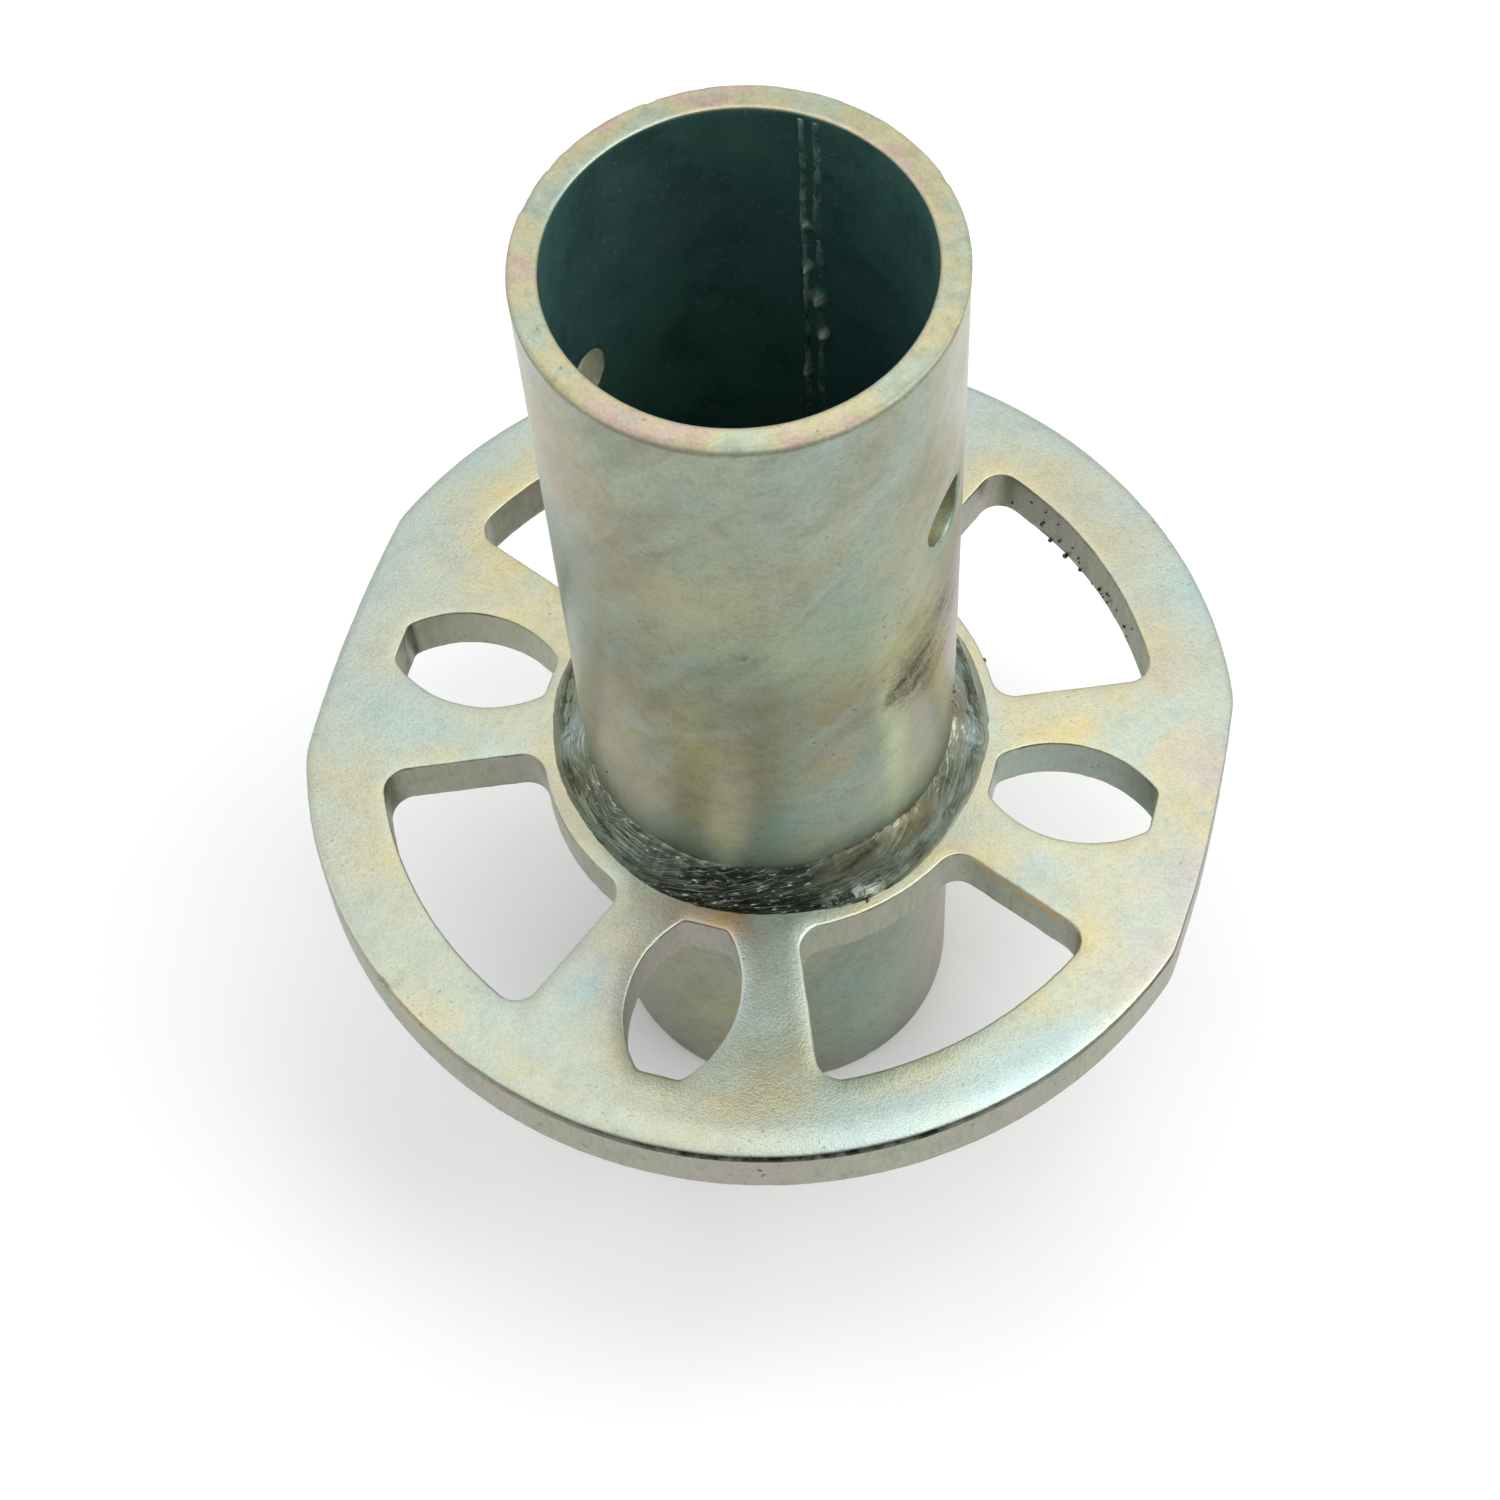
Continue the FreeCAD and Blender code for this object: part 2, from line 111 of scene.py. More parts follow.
ATTRS = ("edge", "wall", "inner", "cream", "blue", "lilac", "dark", "gold", "drill", "pale", "stain_and_painted_shade")


class Shell:
    """Points, faces and point masks that grow ring by ring."""

    def __init__(self):
        self.points, self.faces, self.count = [], [], 0
        self.masks = {k: [] for k in ATTRS}

    def add(self, pts, **masks):
        pts = np.asarray(pts, float).reshape(-1, 3)
        first = self.count
        self.points.append(pts)
        self.count += len(pts)
        for k in ATTRS:
            self.masks[k].append(np.broadcast_to(np.asarray(masks.get(k, 0.0), float), (len(pts),)))
        return np.arange(first, self.count)

    def strip(self, a, b, out=True):
        """Quads between two closed rings; out keeps the outside of a counter-clockwise ring whose second ring is lower."""
        a2, b2 = np.roll(a, -1), np.roll(b, -1)
        q = np.stack([a, b, b2, a2] if out else [a, a2, b2, b], 1)
        self.faces.extend(map(tuple, q.tolist()))

    def grid(self, ids, keep=None, flip=False):
        """Quads over a rows x columns array of indices that closes along its columns."""
        nxt = np.roll(ids, -1, 1)
        q = np.stack([ids[:-1], nxt[:-1], nxt[1:], ids[1:]], -1)
        if flip:
            q = q[..., ::-1]
        q = q.reshape(-1, 4) if keep is None else q[keep]
        self.faces.extend(map(tuple, q.tolist()))

    def tris(self, t):
        self.faces.extend(map(tuple, np.asarray(t).tolist()))

    def make(self, name, material, node=None, sharp=None):
        pts = np.concatenate(self.points)
        mesh = bpy.data.meshes.new(name)
        mesh.from_pydata((pts * MM).tolist(), [], self.faces)
        for k in ATTRS:
            values = np.concatenate(self.masks[k]).astype(np.float32)
            if np.any(values):
                layer = mesh.attributes.new(k, "FLOAT", "POINT")
                layer.data.foreach_set("value", values)
        mesh.validate()
        mesh.shade_smooth()
        if sharp is not None:
            mesh.set_sharp_from_angle(angle=math.radians(sharp))
        mesh.update()
        ob = bpy.data.objects.new(name, mesh)
        bpy.context.scene.collection.objects.link(ob)
        mesh.materials.append(material)
        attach(ob, "root")
        if node:
            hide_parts(node)
        return ob


# ---------------------------------------------------------------- materials

def lin(r, g, b):
    def f(c):
        c = c / 255.0
        return c / 12.92 if c <= 0.04045 else ((c + 0.055) / 1.055) ** 2.4
    return (f(r), f(g), f(b), 1.0)


class Paint:
    """A material's node tree, written as nested calls."""

    def __init__(self, name):
        self.mat = bpy.data.materials.new(name)
        self.mat.use_nodes = True
        self.tree = self.mat.node_tree
        self.tree.nodes.clear()
        self.out = self.tree.nodes.new("ShaderNodeOutputMaterial")
        self.bsdf = self.tree.nodes.new("ShaderNodeBsdfPrincipled")
        self.tree.links.new(self.bsdf.outputs["BSDF"], self.out.inputs["Surface"])
        self.place = self.tree.nodes.new("ShaderNodeTexCoord").outputs["Object"]

    def put(self, socket, value):
        if isinstance(value, bpy.types.NodeSocket):
            self.tree.links.new(value, socket)
        else:
            socket.default_value = value

    def attr(self, name):
        n = self.tree.nodes.new("ShaderNodeAttribute")
        n.attribute_name = name
        return n.outputs["Fac"]

    def moved(self, scale=(1, 1, 1), rot=(0, 0, 0), loc=(0, 0, 0), vec=None):
        n = self.tree.nodes.new("ShaderNodeMapping")
        self.put(n.inputs["Vector"], vec or self.place)
        n.inputs["Scale"].default_value = scale
        n.inputs["Rotation"].default_value = rot
        n.inputs["Location"].default_value = loc
        return n.outputs["Vector"]

    def slanted(self, angle, stretch, vec=None, loc=(0, 0, 0), depth=1.0):
        """Coordinates turned by an angle, then slowed along their new first axis, for strokes that run that way."""
        return self.moved(scale=(stretch, 1.0, depth), vec=self.moved(rot=(0, 0, -angle), loc=loc, vec=vec))

    def polar(self, along=1.0, up=1.0):
        """Coordinates that run round the axis, up it and outwards, for marks that follow the tube."""
        sep = self.tree.nodes.new("ShaderNodeSeparateXYZ")
        self.put(sep.inputs[0], self.place)
        ang = self.math("ARCTAN2", sep.outputs["Y"], sep.outputs["X"])
        rad = self.math("SQRT", self.math("ADD", self.math("MULTIPLY", sep.outputs["X"], sep.outputs["X"]),
                                          self.math("MULTIPLY", sep.outputs["Y"], sep.outputs["Y"])))
        comb = self.tree.nodes.new("ShaderNodeCombineXYZ")
        self.put(comb.inputs[0], self.math("MULTIPLY", ang, along))
        self.put(comb.inputs[1], self.math("MULTIPLY", sep.outputs["Z"], up))
        self.put(comb.inputs[2], rad)
        return comb.outputs[0]

    def noise(self, scale, detail=4.0, rough=0.5, warp=0.0, vec=None):
        """Noise without the octaves that are too fine to be seen, and with no bending of fine grain."""
        n = self.tree.nodes.new("ShaderNodeTexNoise")
        self.put(n.inputs["Vector"], vec or self.place)
        n.inputs["Scale"].default_value = scale
        n.inputs["Detail"].default_value = min(detail, 3.0, max(1.0, math.floor(math.log2(8000.0 / scale))))
        n.inputs["Roughness"].default_value = rough
        n.inputs["Distortion"].default_value = warp if scale < 300 else 0.0
        return n.outputs["Fac"]

    def ramp(self, fac, stops, ease="EASE"):
        n = self.tree.nodes.new("ShaderNodeValToRGB")
        n.color_ramp.interpolation = ease
        e = n.color_ramp.elements
        while len(e) < len(stops):
            e.new(0.5)
        for k, (at, c) in enumerate(stops):
            e[k].position = at
            e[k].color = c if len(c) == 4 else (*c, 1)
        self.put(n.inputs["Fac"], fac)
        return n.outputs["Color"]

    def mask(self, fac, a, b):
        """0 at a, 1 at b, smooth between."""
        n = self.tree.nodes.new("ShaderNodeMapRange")
        n.interpolation_type = "SMOOTHSTEP"
        self.put(n.inputs["Value"], fac)
        n.inputs["From Min"].default_value = a
        n.inputs["From Max"].default_value = b
        return n.outputs["Result"]

    def span(self, fac, lo, hi):
        n = self.tree.nodes.new("ShaderNodeMapRange")
        self.put(n.inputs["Value"], fac)
        n.inputs["From Min"].default_value = 0.25
        n.inputs["From Max"].default_value = 0.75
        n.inputs["To Min"].default_value = lo
        n.inputs["To Max"].default_value = hi
        return n.outputs["Result"]

    def mix(self, fac, a, b, mode="MIX"):
        n = self.tree.nodes.new("ShaderNodeMix")
        n.data_type = "RGBA"
        n.blend_type = mode
        n.clamp_factor = True
        self.put(n.inputs[0], fac)
        self.put(n.inputs[6], a)
        self.put(n.inputs[7], b)
        return n.outputs[2]

    def math(self, op, a, b=None, clamp=False):
        n = self.tree.nodes.new("ShaderNodeMath")
        n.operation = op
        n.use_clamp = clamp
        self.put(n.inputs[0], a)
        if b is not None:
            self.put(n.inputs[1], b)
        return n.outputs[0]

    def bump(self, height, distance, strength=1.0, under=None):
        n = self.tree.nodes.new("ShaderNodeBump")
        n.inputs["Strength"].default_value = strength
        n.inputs["Distance"].default_value = distance
        self.put(n.inputs["Height"], height)
        if under is not None:
            self.put(n.inputs["Normal"], under)
        return n.outputs["Normal"]

    def done(self, colour, rough, metal, normal):
        self.put(self.bsdf.inputs["Base Color"], colour)
        self.put(self.bsdf.inputs["Roughness"], rough)
        self.put(self.bsdf.inputs["Metallic"], metal)
        self.put(self.bsdf.inputs["Normal"], normal)
        return self.mat


def zinc(r, g, b, k=0.74):
    """A metal's own colour for the tone it shows under this studio's light."""
    c = lin(r, g, b)
    return (c[0] * k, c[1] * k, c[2] * k, 1.0)


def plate_zinc():
    p = Paint("zinc_passivated_plate")
    z = lambda r, g, b: zinc(r, g, b, 0.68)
    cloud = p.noise(30, 3.0, 0.5, 0.25)
    film = p.ramp(cloud, [(0.28, z(194, 216, 213)), (0.40, z(203, 219, 210)), (0.50, z(210, 219, 205)),
                          (0.60, z(217, 216, 192)), (0.70, z(214, 212, 203)), (0.80, z(200, 215, 210))])
    soft = p.noise(85, 4.0, 0.6, 0.5, p.moved(loc=(0.31, 0.12, 0.0)))
    colour = p.mix(p.math("MULTIPLY", p.mask(soft, 0.42, 0.72), 0.7), film, z(204, 219, 213))
    lumpy = p.span(p.noise(120, 4.0, 0.6, 0.7, p.moved(loc=(0.0, 0.7, 0.2))), 0.15, 1.25)
    colour = p.mix(p.math("MULTIPLY", p.attr("cream"), lumpy, True), colour, z(236, 217, 158))
    colour = p.mix(p.math("MULTIPLY", p.attr("blue"), lumpy, True), colour, z(188, 217, 221))
    colour = p.mix(p.math("MULTIPLY", p.attr("lilac"), lumpy, True), colour, z(216, 198, 204))
    # painted highlight: near-white where the pale mask is set, on the web in front of the weld
    colour = p.mix(p.attr("pale"), colour, z(242, 255, 247))
    sand = p.noise(330, 3.0, 0.72, 0.0, p.moved(loc=(0.7, 0.2, 0.1)))
    stain_and_painted_shade = p.math("MULTIPLY", p.attr("stain_and_painted_shade"), p.span(sand, 0.35, 1.1), True)
    colour = p.mix(stain_and_painted_shade, colour, z(222, 178, 88))
    # a rubbed, slightly warmer band along the rolled edges
    edge = p.attr("edge")
    worn = p.math("MULTIPLY", p.mask(edge, 0.35, 0.95), p.span(sand, 0.05, 0.6), True)
    colour = p.mix(worn, colour, z(228, 216, 172))
    # sheared walls: greyer and greener, with faint drag lines down them
    wall = p.attr("wall")
    drag = p.noise(1500, 4.0, 0.6, 0.3, p.moved(scale=(1, 1, 0.22)))
    sheared = p.ramp(drag, [(0.28, z(172, 178, 156)), (0.48, z(186, 191, 170)), (0.66, z(194, 196, 174)), (0.80, z(178, 186, 168))])
    sheared = p.mix(p.math("MULTIPLY", p.mask(p.noise(55, 3.0, 0.5), 0.45, 0.70), 0.7), sheared, z(196, 186, 176))
    colour = p.mix(wall, colour, sheared)
    colour = p.mix(p.math("MULTIPLY", p.math("MULTIPLY", wall, p.attr("lilac")), lumpy, True), colour, z(208, 190, 186))
    gold = p.math("MULTIPLY", p.attr("gold"), p.mask(sand, 0.34, 0.56), True)
    colour = p.mix(gold, colour, z(236, 186, 78))
    # pepper: tiny dark pits, thicker where the bath left dirt
    which = p.mask(p.noise(75, 2.0, 0.6, 0.0, p.moved(loc=(0.5, 0.0, 0.0))), 0.46, 0.66)
    pepper = p.math("MULTIPLY", p.mask(p.noise(1900, 1.0), 0.66, 0.76), p.math("MULTIPLY", which, 0.42))
    colour = p.mix(pepper, colour, z(112, 104, 80))
    black = p.math("MULTIPLY", p.mask(p.noise(900, 1.0, 0.5, 0.0, p.moved(loc=(0.1, 0.4, 0.3))), 0.68, 0.76),
                   p.math("MULTIPLY", wall, p.mask(soft, 0.48, 0.60)), True)
    colour = p.mix(p.math("MULTIPLY", black, 0.8), colour, z(52, 54, 42))
    # darkening from the dark mask: burnt, sooty hole edges, and painted dark reflection along the rolled outer corner
    # where it faces the camera
    dirt_and_painted_reflection = p.math("MULTIPLY", p.attr("dark"), p.span(sand, 0.45, 1.25), True)
    colour = p.mix(dirt_and_painted_reflection, colour, z(46, 46, 34))
    # faint rubbing strokes and an even, sandy grain
    rub = p.noise(520, 4.0, 0.6, 0.2, p.slanted(0.9, 0.10))
    colour = p.mix(0.12, colour, p.ramp(rub, [(0.32, (0.76, 0.78, 0.74)), (0.68, (1.0, 1.0, 1.0))]), "MULTIPLY")
    colour = p.mix(0.34, colour, p.ramp(sand, [(0.34, (0.80, 0.80, 0.76)), (0.52, (1.0, 1.0, 1.0)), (0.70, (1.08, 1.09, 1.10))]), "MULTIPLY")
    peel = p.noise(3300, 3.0, 0.65)
    colour = p.mix(0.34, colour, p.ramp(peel, [(0.32, (0.64, 0.66, 0.62)), (0.60, (1.0, 1.0, 1.0))]), "MULTIPLY")
    grain = p.noise(380, 2.0, 0.5, 0.0, p.moved(loc=(0.2, 0.2, 0.9)))
    height = p.math("ADD", p.math("MULTIPLY", peel, 1.0), p.math("ADD", p.math("MULTIPLY", grain, 0.18), p.math("MULTIPLY", rub, 0.20)))
    rough = p.math("ADD", p.span(soft, 0.26, 0.36),
                   p.math("MULTIPLY", wall, 0.12))
    return p.done(colour, rough, 0.92, p.bump(height, 0.000026))


def tube_zinc():
    p = Paint("zinc_passivated_tube")
    z = lambda r, g, b: zinc(r, g, b, 0.74)
    ring = p.polar(along=0.024)
    cloud = p.noise(46, 3.0, 0.5, 0.7, p.slanted(0.95, 0.6, ring))
    film = p.ramp(cloud, [(0.28, z(156, 182, 174)), (0.42, z(172, 182, 164)), (0.52, z(182, 181, 154)),
                          (0.62, z(188, 177, 142)), (0.74, z(172, 176, 160))])
    big = p.noise(24, 3.0, 0.5, 0.6, p.moved(loc=(0.4, 0.0, 0.1)))
    colour = p.mix(p.math("MULTIPLY", p.mask(big, 0.44, 0.66), 0.55), film, z(172, 186, 170))
    # broad, soft wiping marks that climb to the right
    wiped = p.noise(130, 5.0, 0.65, 0.6, p.slanted(0.95, 0.32, ring))
    colour = p.mix(p.math("MULTIPLY", p.mask(wiped, 0.46, 0.70), 0.55), colour, z(146, 148, 128))
    pale = p.noise(110, 5.0, 0.65, 0.6, p.slanted(0.80, 0.38, ring, (0.2, 0.1, 0.0)))
    colour = p.mix(p.math("MULTIPLY", p.mask(pale, 0.50, 0.72), 0.50), colour, z(190, 204, 194))
    lump = p.noise(130, 4.0, 0.6, 0.6, ring)
    lumpy = p.span(lump, 0.3, 1.1)
    colour = p.mix(p.math("MULTIPLY", p.attr("cream"), lumpy, True), colour, z(232, 228, 164))
    colour = p.mix(p.math("MULTIPLY", p.attr("blue"), lumpy, True), colour, z(146, 192, 183))
    colour = p.mix(p.math("MULTIPLY", p.attr("lilac"), lumpy, True), colour, z(200, 176, 174))
    # painted highlight: the pale streak and patch on the tube's outside
    colour = p.mix(p.math("MULTIPLY", p.attr("pale"), lumpy, True), colour, z(230, 238, 216))
    # painted shade on the tube: darker where it faces the camera, below the disc and at the upper left
    colour = p.mix(p.attr("stain_and_painted_shade"), colour, z(96, 92, 72))
    # cut end: pale grey cream with faint pink and blue
    wall = p.attr("wall")
    end = p.ramp(p.noise(75, 4.0, 0.6, 0.5, p.moved(loc=(0.2, 0.6, 0.0))),
                 [(0.30, zinc(152, 178, 176, 0.88)), (0.42, zinc(176, 184, 164, 0.88)), (0.52, zinc(190, 184, 150, 0.88)),
                  (0.62, zinc(190, 172, 156, 0.88)), (0.74, zinc(164, 180, 174, 0.88))])
    colour = p.mix(wall, colour, end)
    # burr line on the cut's outer edge
    sand = p.noise(520, 3.0, 0.72, 0.0, ring)
    burr = p.math("MULTIPLY", p.attr("edge"), p.mask(sand, 0.50, 0.62), True)
    colour = p.mix(p.math("MULTIPLY", burr, 0.45), colour, z(134, 118, 78))
    gold = p.math("MULTIPLY", p.attr("gold"), p.span(sand, 0.2, 1.1), True)
    colour = p.mix(gold, colour, z(214, 204, 140))
    # soot smear, soft, in slanted strokes
    stroke = p.math("ADD", p.math("MULTIPLY", p.noise(760, 5.0, 0.75, 0.5, p.slanted(0.42, 0.22, ring)), 0.6), p.math("MULTIPLY", sand, 0.4))
    blot = p.noise(240, 5.0, 0.7, 0.5, p.slanted(0.5, 0.45, ring))
    grit = p.noise(1900, 4.0, 0.75)
    dark = p.attr("dark")
    colour = p.mix(p.math("MULTIPLY", dark, p.span(blot, 0.10, 0.95), True), colour, z(136, 128, 92))
    level = p.math("ADD", p.math("ADD", p.math("MULTIPLY", dark, 0.75), p.math("MULTIPLY", blot, 1.5)), p.math("ADD", p.math("MULTIPLY", stroke, 0.9), p.math("MULTIPLY", grit, 1.1)))
    soot = p.math("MULTIPLY", p.mask(level, 2.05, 2.85), p.mask(dark, 0.04, 0.30))
    colour = p.mix(p.math("MULTIPLY", soot, 0.92), colour, z(58, 52, 34))
    pits = p.math("MULTIPLY", p.mask(p.noise(1000, 1.0), 0.68, 0.77), p.math("MULTIPLY", p.mask(pale, 0.46, 0.64), 0.50))
    colour = p.mix(pits, colour, z(84, 80, 60))
    # even, sandy grain all over the drawn surface
    colour = p.mix(0.45, colour, p.ramp(sand, [(0.34, (0.74, 0.75, 0.70)), (0.52, (1.0, 1.0, 1.0)), (0.70, (1.12, 1.13, 1.12))]), "MULTIPLY")
    fine = p.noise(2400, 4.0, 0.65)
    colour = p.mix(0.30, colour, p.ramp(fine, [(0.34, (0.64, 0.66, 0.60)), (0.62, (1.0, 1.0, 1.0))]), "MULTIPLY")
    # bare bore: green-black scale with a faint blue bloom, kept dark also as painted shade for the deep, unlit bore
    inner = p.attr("inner")
    bore = p.ramp(p.noise(120, 3.0, 0.65), [(0.30, lin(56, 98, 92)), (0.55, lin(76, 121, 113)), (0.75, lin(90, 132, 120))])
    bore = p.mix(p.math("MULTIPLY", p.mask(big, 0.48, 0.66), 0.4), bore, lin(66, 100, 116))
    bore = p.mix(p.math("MULTIPLY", p.mask(p.noise(2200, 3.0, 0.7), 0.60, 0.78), 0.7), bore, lin(140, 160, 148))
    olive = p.mask(p.noise(14, 1.0, 0.5, 0.0, p.moved(loc=(0.43, 0.1, 0.0))), 0.50, 0.66)
    bore = p.mix(p.math("MULTIPLY", olive, 0.5), bore, lin(84, 104, 84))
    colour = p.mix(inner, colour, bore)
    drawn = p.noise(900, 4.0, 0.6, 0.2, p.moved(scale=(1.0, 0.05, 1.0), vec=ring))
    height = p.math("ADD", p.math("MULTIPLY", fine, 0.9), p.math("MULTIPLY", drawn, 0.25))
    rough = p.math("ADD", p.span(lump, 0.27, 0.36),
                   p.math("ADD", p.math("MULTIPLY", p.math("ADD", soot, inner), 0.20), p.math("MULTIPLY", p.math("ADD", p.attr("drill"), p.math("MULTIPLY", p.math("ADD", p.attr("cream"), p.attr("blue")), 0.6)), 0.30)))
    return p.done(colour, rough, p.math("SUBTRACT", 0.93, p.math("MULTIPLY", inner, 0.55)), p.bump(height, 0.000009))


def weld_zinc():
    p = Paint("zinc_passivated_weld")
    z = lambda r, g, b: zinc(r, g, b, 0.86)
    ring = p.polar(along=0.027)
    # broad tones under the brushing: olive, teal and brown
    tone = p.noise(70, 3.0, 0.55, 0.8, p.moved(scale=(0.6, 1.0, 1.0), vec=ring))
    colour = p.ramp(tone, [(0.28, z(104, 120, 108)), (0.42, z(130, 140, 122)), (0.52, z(140, 144, 118)),
                           (0.62, z(130, 122, 94)), (0.74, z(124, 144, 136))])
    lumpy = p.span(p.noise(190, 4.0, 0.6, 0.7), 0.45, 1.15)
    colour = p.mix(p.math("MULTIPLY", p.attr("cream"), lumpy, True), colour, z(136, 131, 98))
    colour = p.mix(p.math("MULTIPLY", p.attr("blue"), lumpy, True), colour, z(164, 194, 194))
    colour = p.mix(p.math("MULTIPLY", p.attr("lilac"), lumpy, True), colour, z(206, 214, 202))
    # painted dark reflection and shade from the dark mask, strongest on the bead's camera-facing front
    colour = p.mix(p.math("MULTIPLY", p.attr("dark"), p.span(tone, 1.15, 0.70), True), colour, z(58, 66, 58))
    # dry, smeared patches, then wire-brush hairs at several slants that trade places along the bead
    patch = p.noise(620, 4.0, 0.65, 0.5, p.slanted(0.2, 0.16, ring, (0.1, 0.0, 0.0), 0.0))
    colour = p.mix(p.math("MULTIPLY", p.mask(patch, 0.52, 0.72), 0.50), colour, z(164, 172, 154))
    colour = p.mix(p.math("MULTIPLY", p.mask(patch, 0.48, 0.30), 0.60), colour, z(36, 42, 34))
    hair = lambda angle, seed: p.noise(5600, 3.0, 0.6, 0.2, p.slanted(angle, 0.022, ring, (seed, 0.0, 0.0), 0.0))
    where = p.noise(60, 2.0, 0.5, 0.8)
    brush = p.mix(p.mask(where, 0.36, 0.50), hair(0.06, 0.0), hair(0.26, 0.3))
    brush = p.mix(p.mask(where, 0.52, 0.64), brush, hair(-0.12, 0.7))
    busy = p.span(p.noise(120, 3.0, 0.6, 0.6, p.moved(loc=(0.6, 0.3, 0.1))), 0.25, 1.0)
    light = p.math("MULTIPLY", p.mask(brush, 0.53, 0.69), busy, True)
    colour = p.mix(p.math("MULTIPLY", light, 0.72), colour, z(218, 226, 210))
    dim = p.math("MULTIPLY", p.mask(brush, 0.48, 0.32), busy, True)
    colour = p.mix(p.math("MULTIPLY", dim, 0.45), colour, z(34, 39, 30))
    swirl = p.math("SINE", p.math("MULTIPLY", p.noise(95, 1.5, 0.5, 0.5, p.moved(scale=(0.14, 1.0, 0.0), vec=ring)), 330.0))
    front = p.math("MULTIPLY", p.attr("dark"), p.mask(p.noise(700, 4.0, 0.7), 0.42, 0.56))
    colour = p.mix(p.math("MULTIPLY", p.math("MULTIPLY", p.mask(swirl, 0.3, 0.98), front), 0.34), colour, z(206, 214, 202))
    # painted glints: white specks over the dark front and on the pale toe patch, made less metallic so they show white
    painted_glint = p.math("MULTIPLY", p.mask(p.noise(3600, 2.0, 0.5, 0.3, p.slanted(0.15, 0.22, ring, (0.5, 0.0, 0.0), 0.0)), 0.63, 0.70), front)
    painted_glint = p.math("MAXIMUM", painted_glint, p.math("MULTIPLY", p.attr("pale"), p.mask(brush, 0.34, 0.54)))
    colour = p.mix(painted_glint, colour, z(236, 242, 232))
    colour = p.mix(p.attr("gold"), colour, z(74, 50, 32))
    height = p.math("ADD", p.math("MULTIPLY", brush, p.math("ADD", busy, 0.25)), p.math("MULTIPLY", p.noise(420, 3.0, 0.6, 0.5), 0.8))
    rough = p.math("ADD", p.span(p.noise(210, 4.0, 0.6, 0.6, ring), 0.14, 0.26), p.math("ADD", p.math("MULTIPLY", light, 0.34), p.math("MULTIPLY", p.math("ADD", p.attr("lilac"), p.attr("cream")), 0.22)))
    return p.done(colour, rough, p.math("SUBTRACT", 0.95, p.math("MULTIPLY", painted_glint, 0.70)), p.bump(height, 0.00004))


def seam_steel():
    p = Paint("tube_seam_steel")
    colour = p.ramp(p.noise(420, 5.0, 0.7, 0.5), [(0.30, lin(70, 108, 104)), (0.50, lin(112, 146, 138)), (0.64, lin(176, 190, 172)),
                                                  (0.78, lin(236, 228, 190))])
    # painted highlight: near-white on the seam ridge's lit side and on its drips
    colour = p.mix(p.attr("cream"), colour, lin(252, 248, 226))
    height = p.math("ADD", p.noise(900, 5.0, 0.7), p.math("MULTIPLY", p.noise(2600, 3.0), 0.3))
    rough = p.span(p.noise(500, 3.0), 0.18, 0.36)
    return p.done(colour, rough, 0.35, p.bump(height, 0.00010))


def spatter_steel():
    p = Paint("weld_spatter_steel")
    colour = p.ramp(p.noise(900, 4.0, 0.7, 0.4), [(0.32, zinc(56, 52, 38)), (0.55, zinc(110, 104, 80)), (0.75, zinc(168, 164, 136))])
    rough = p.span(p.noise(700, 3.0), 0.28, 0.48)
    return p.done(colour, rough, 0.9, p.bump(p.noise(2400, 3.0), 0.00005))


PLATE, TUBE, WELD, SEAM, SPATTER = plate_zinc(), tube_zinc(), weld_zinc(), seam_steel(), spatter_steel()


# ---------------------------------------------------------------- rosette

def lens_field(x, y):
    return np.maximum.reduce([np.hypot(x - 40.8, y + 8.4) - 15.3, np.hypot(x - 40.8, y - 8.4) - 15.3, 30.4 - x, x - 51.3])


def window_field(x, y):
    a, b = math.radians(22.5), math.radians(67.5)
    r = np.hypot(x, y)
    return np.maximum.reduce([30.3 - r, r - 51.1, x * math.sin(a) - y * math.cos(a), y * math.cos(b) - x * math.sin(b)])


def disc_field(x, y):
    return np.maximum.reduce([np.hypot(x, y) - 61.5] + [np.hypot(x + s * 130.6, y) - 190.0 for s in (1, -1)])


def even(loop, n):
    closed = np.r_[loop, loop[:1]]
    length = np.r_[0, np.cumsum(np.hypot(*np.diff(closed, axis=0).T))]
    at = np.linspace(0, length[-1], n + 1)[:-1]
    return np.c_[np.interp(at, length, closed[:, 0]), np.interp(at, length, closed[:, 1])]


def trace(field, cx, cy, corner, n, reach):
    """The field's zero line round a centre with its corners rounded, as n points at equal steps, counter-clockwise."""
    phi = np.linspace(0, 2 * np.pi, 3001)[:-1]
    lo, hi = np.zeros_like(phi), np.full_like(phi, reach)
    for _ in range(50):
        mid = (lo + hi) / 2
        out = field(cx + mid * np.cos(phi), cy + mid * np.sin(phi)) + corner > 0
        hi, lo = np.where(out, mid, hi), np.where(out, lo, mid)
    core = even(np.c_[cx + lo * np.cos(phi), cy + lo * np.sin(phi)], 2000)
    step = np.roll(core, -1, 0) - core
    face = np.arctan2(step[:, 1], step[:, 0]) - np.pi / 2
    loop = []
    for k in range(len(core)):
        bend = (face[k] - face[k - 1] + np.pi) % (2 * np.pi) - np.pi
        m = max(1, int(abs(bend) / 0.03))
        for j in range(m):
            a = face[k - 1] + bend * (j + 0.5) / m
            loop.append(core[k] + corner * np.array([math.cos(a), math.sin(a)]))
    return even(np.array(loop), n)


def outward(loop):
    d = np.roll(loop, -1, 0) - np.roll(loop, 1, 0)
    d /= np.hypot(d[:, 0], d[:, 1])[:, None]
    return np.c_[d[:, 1], -d[:, 0]]


def spin(loop, quarter):
    c, s = round(math.cos(quarter * math.pi / 2)), round(math.sin(quarter * math.pi / 2))
    return loop @ np.array([[c, s], [-s, c]])


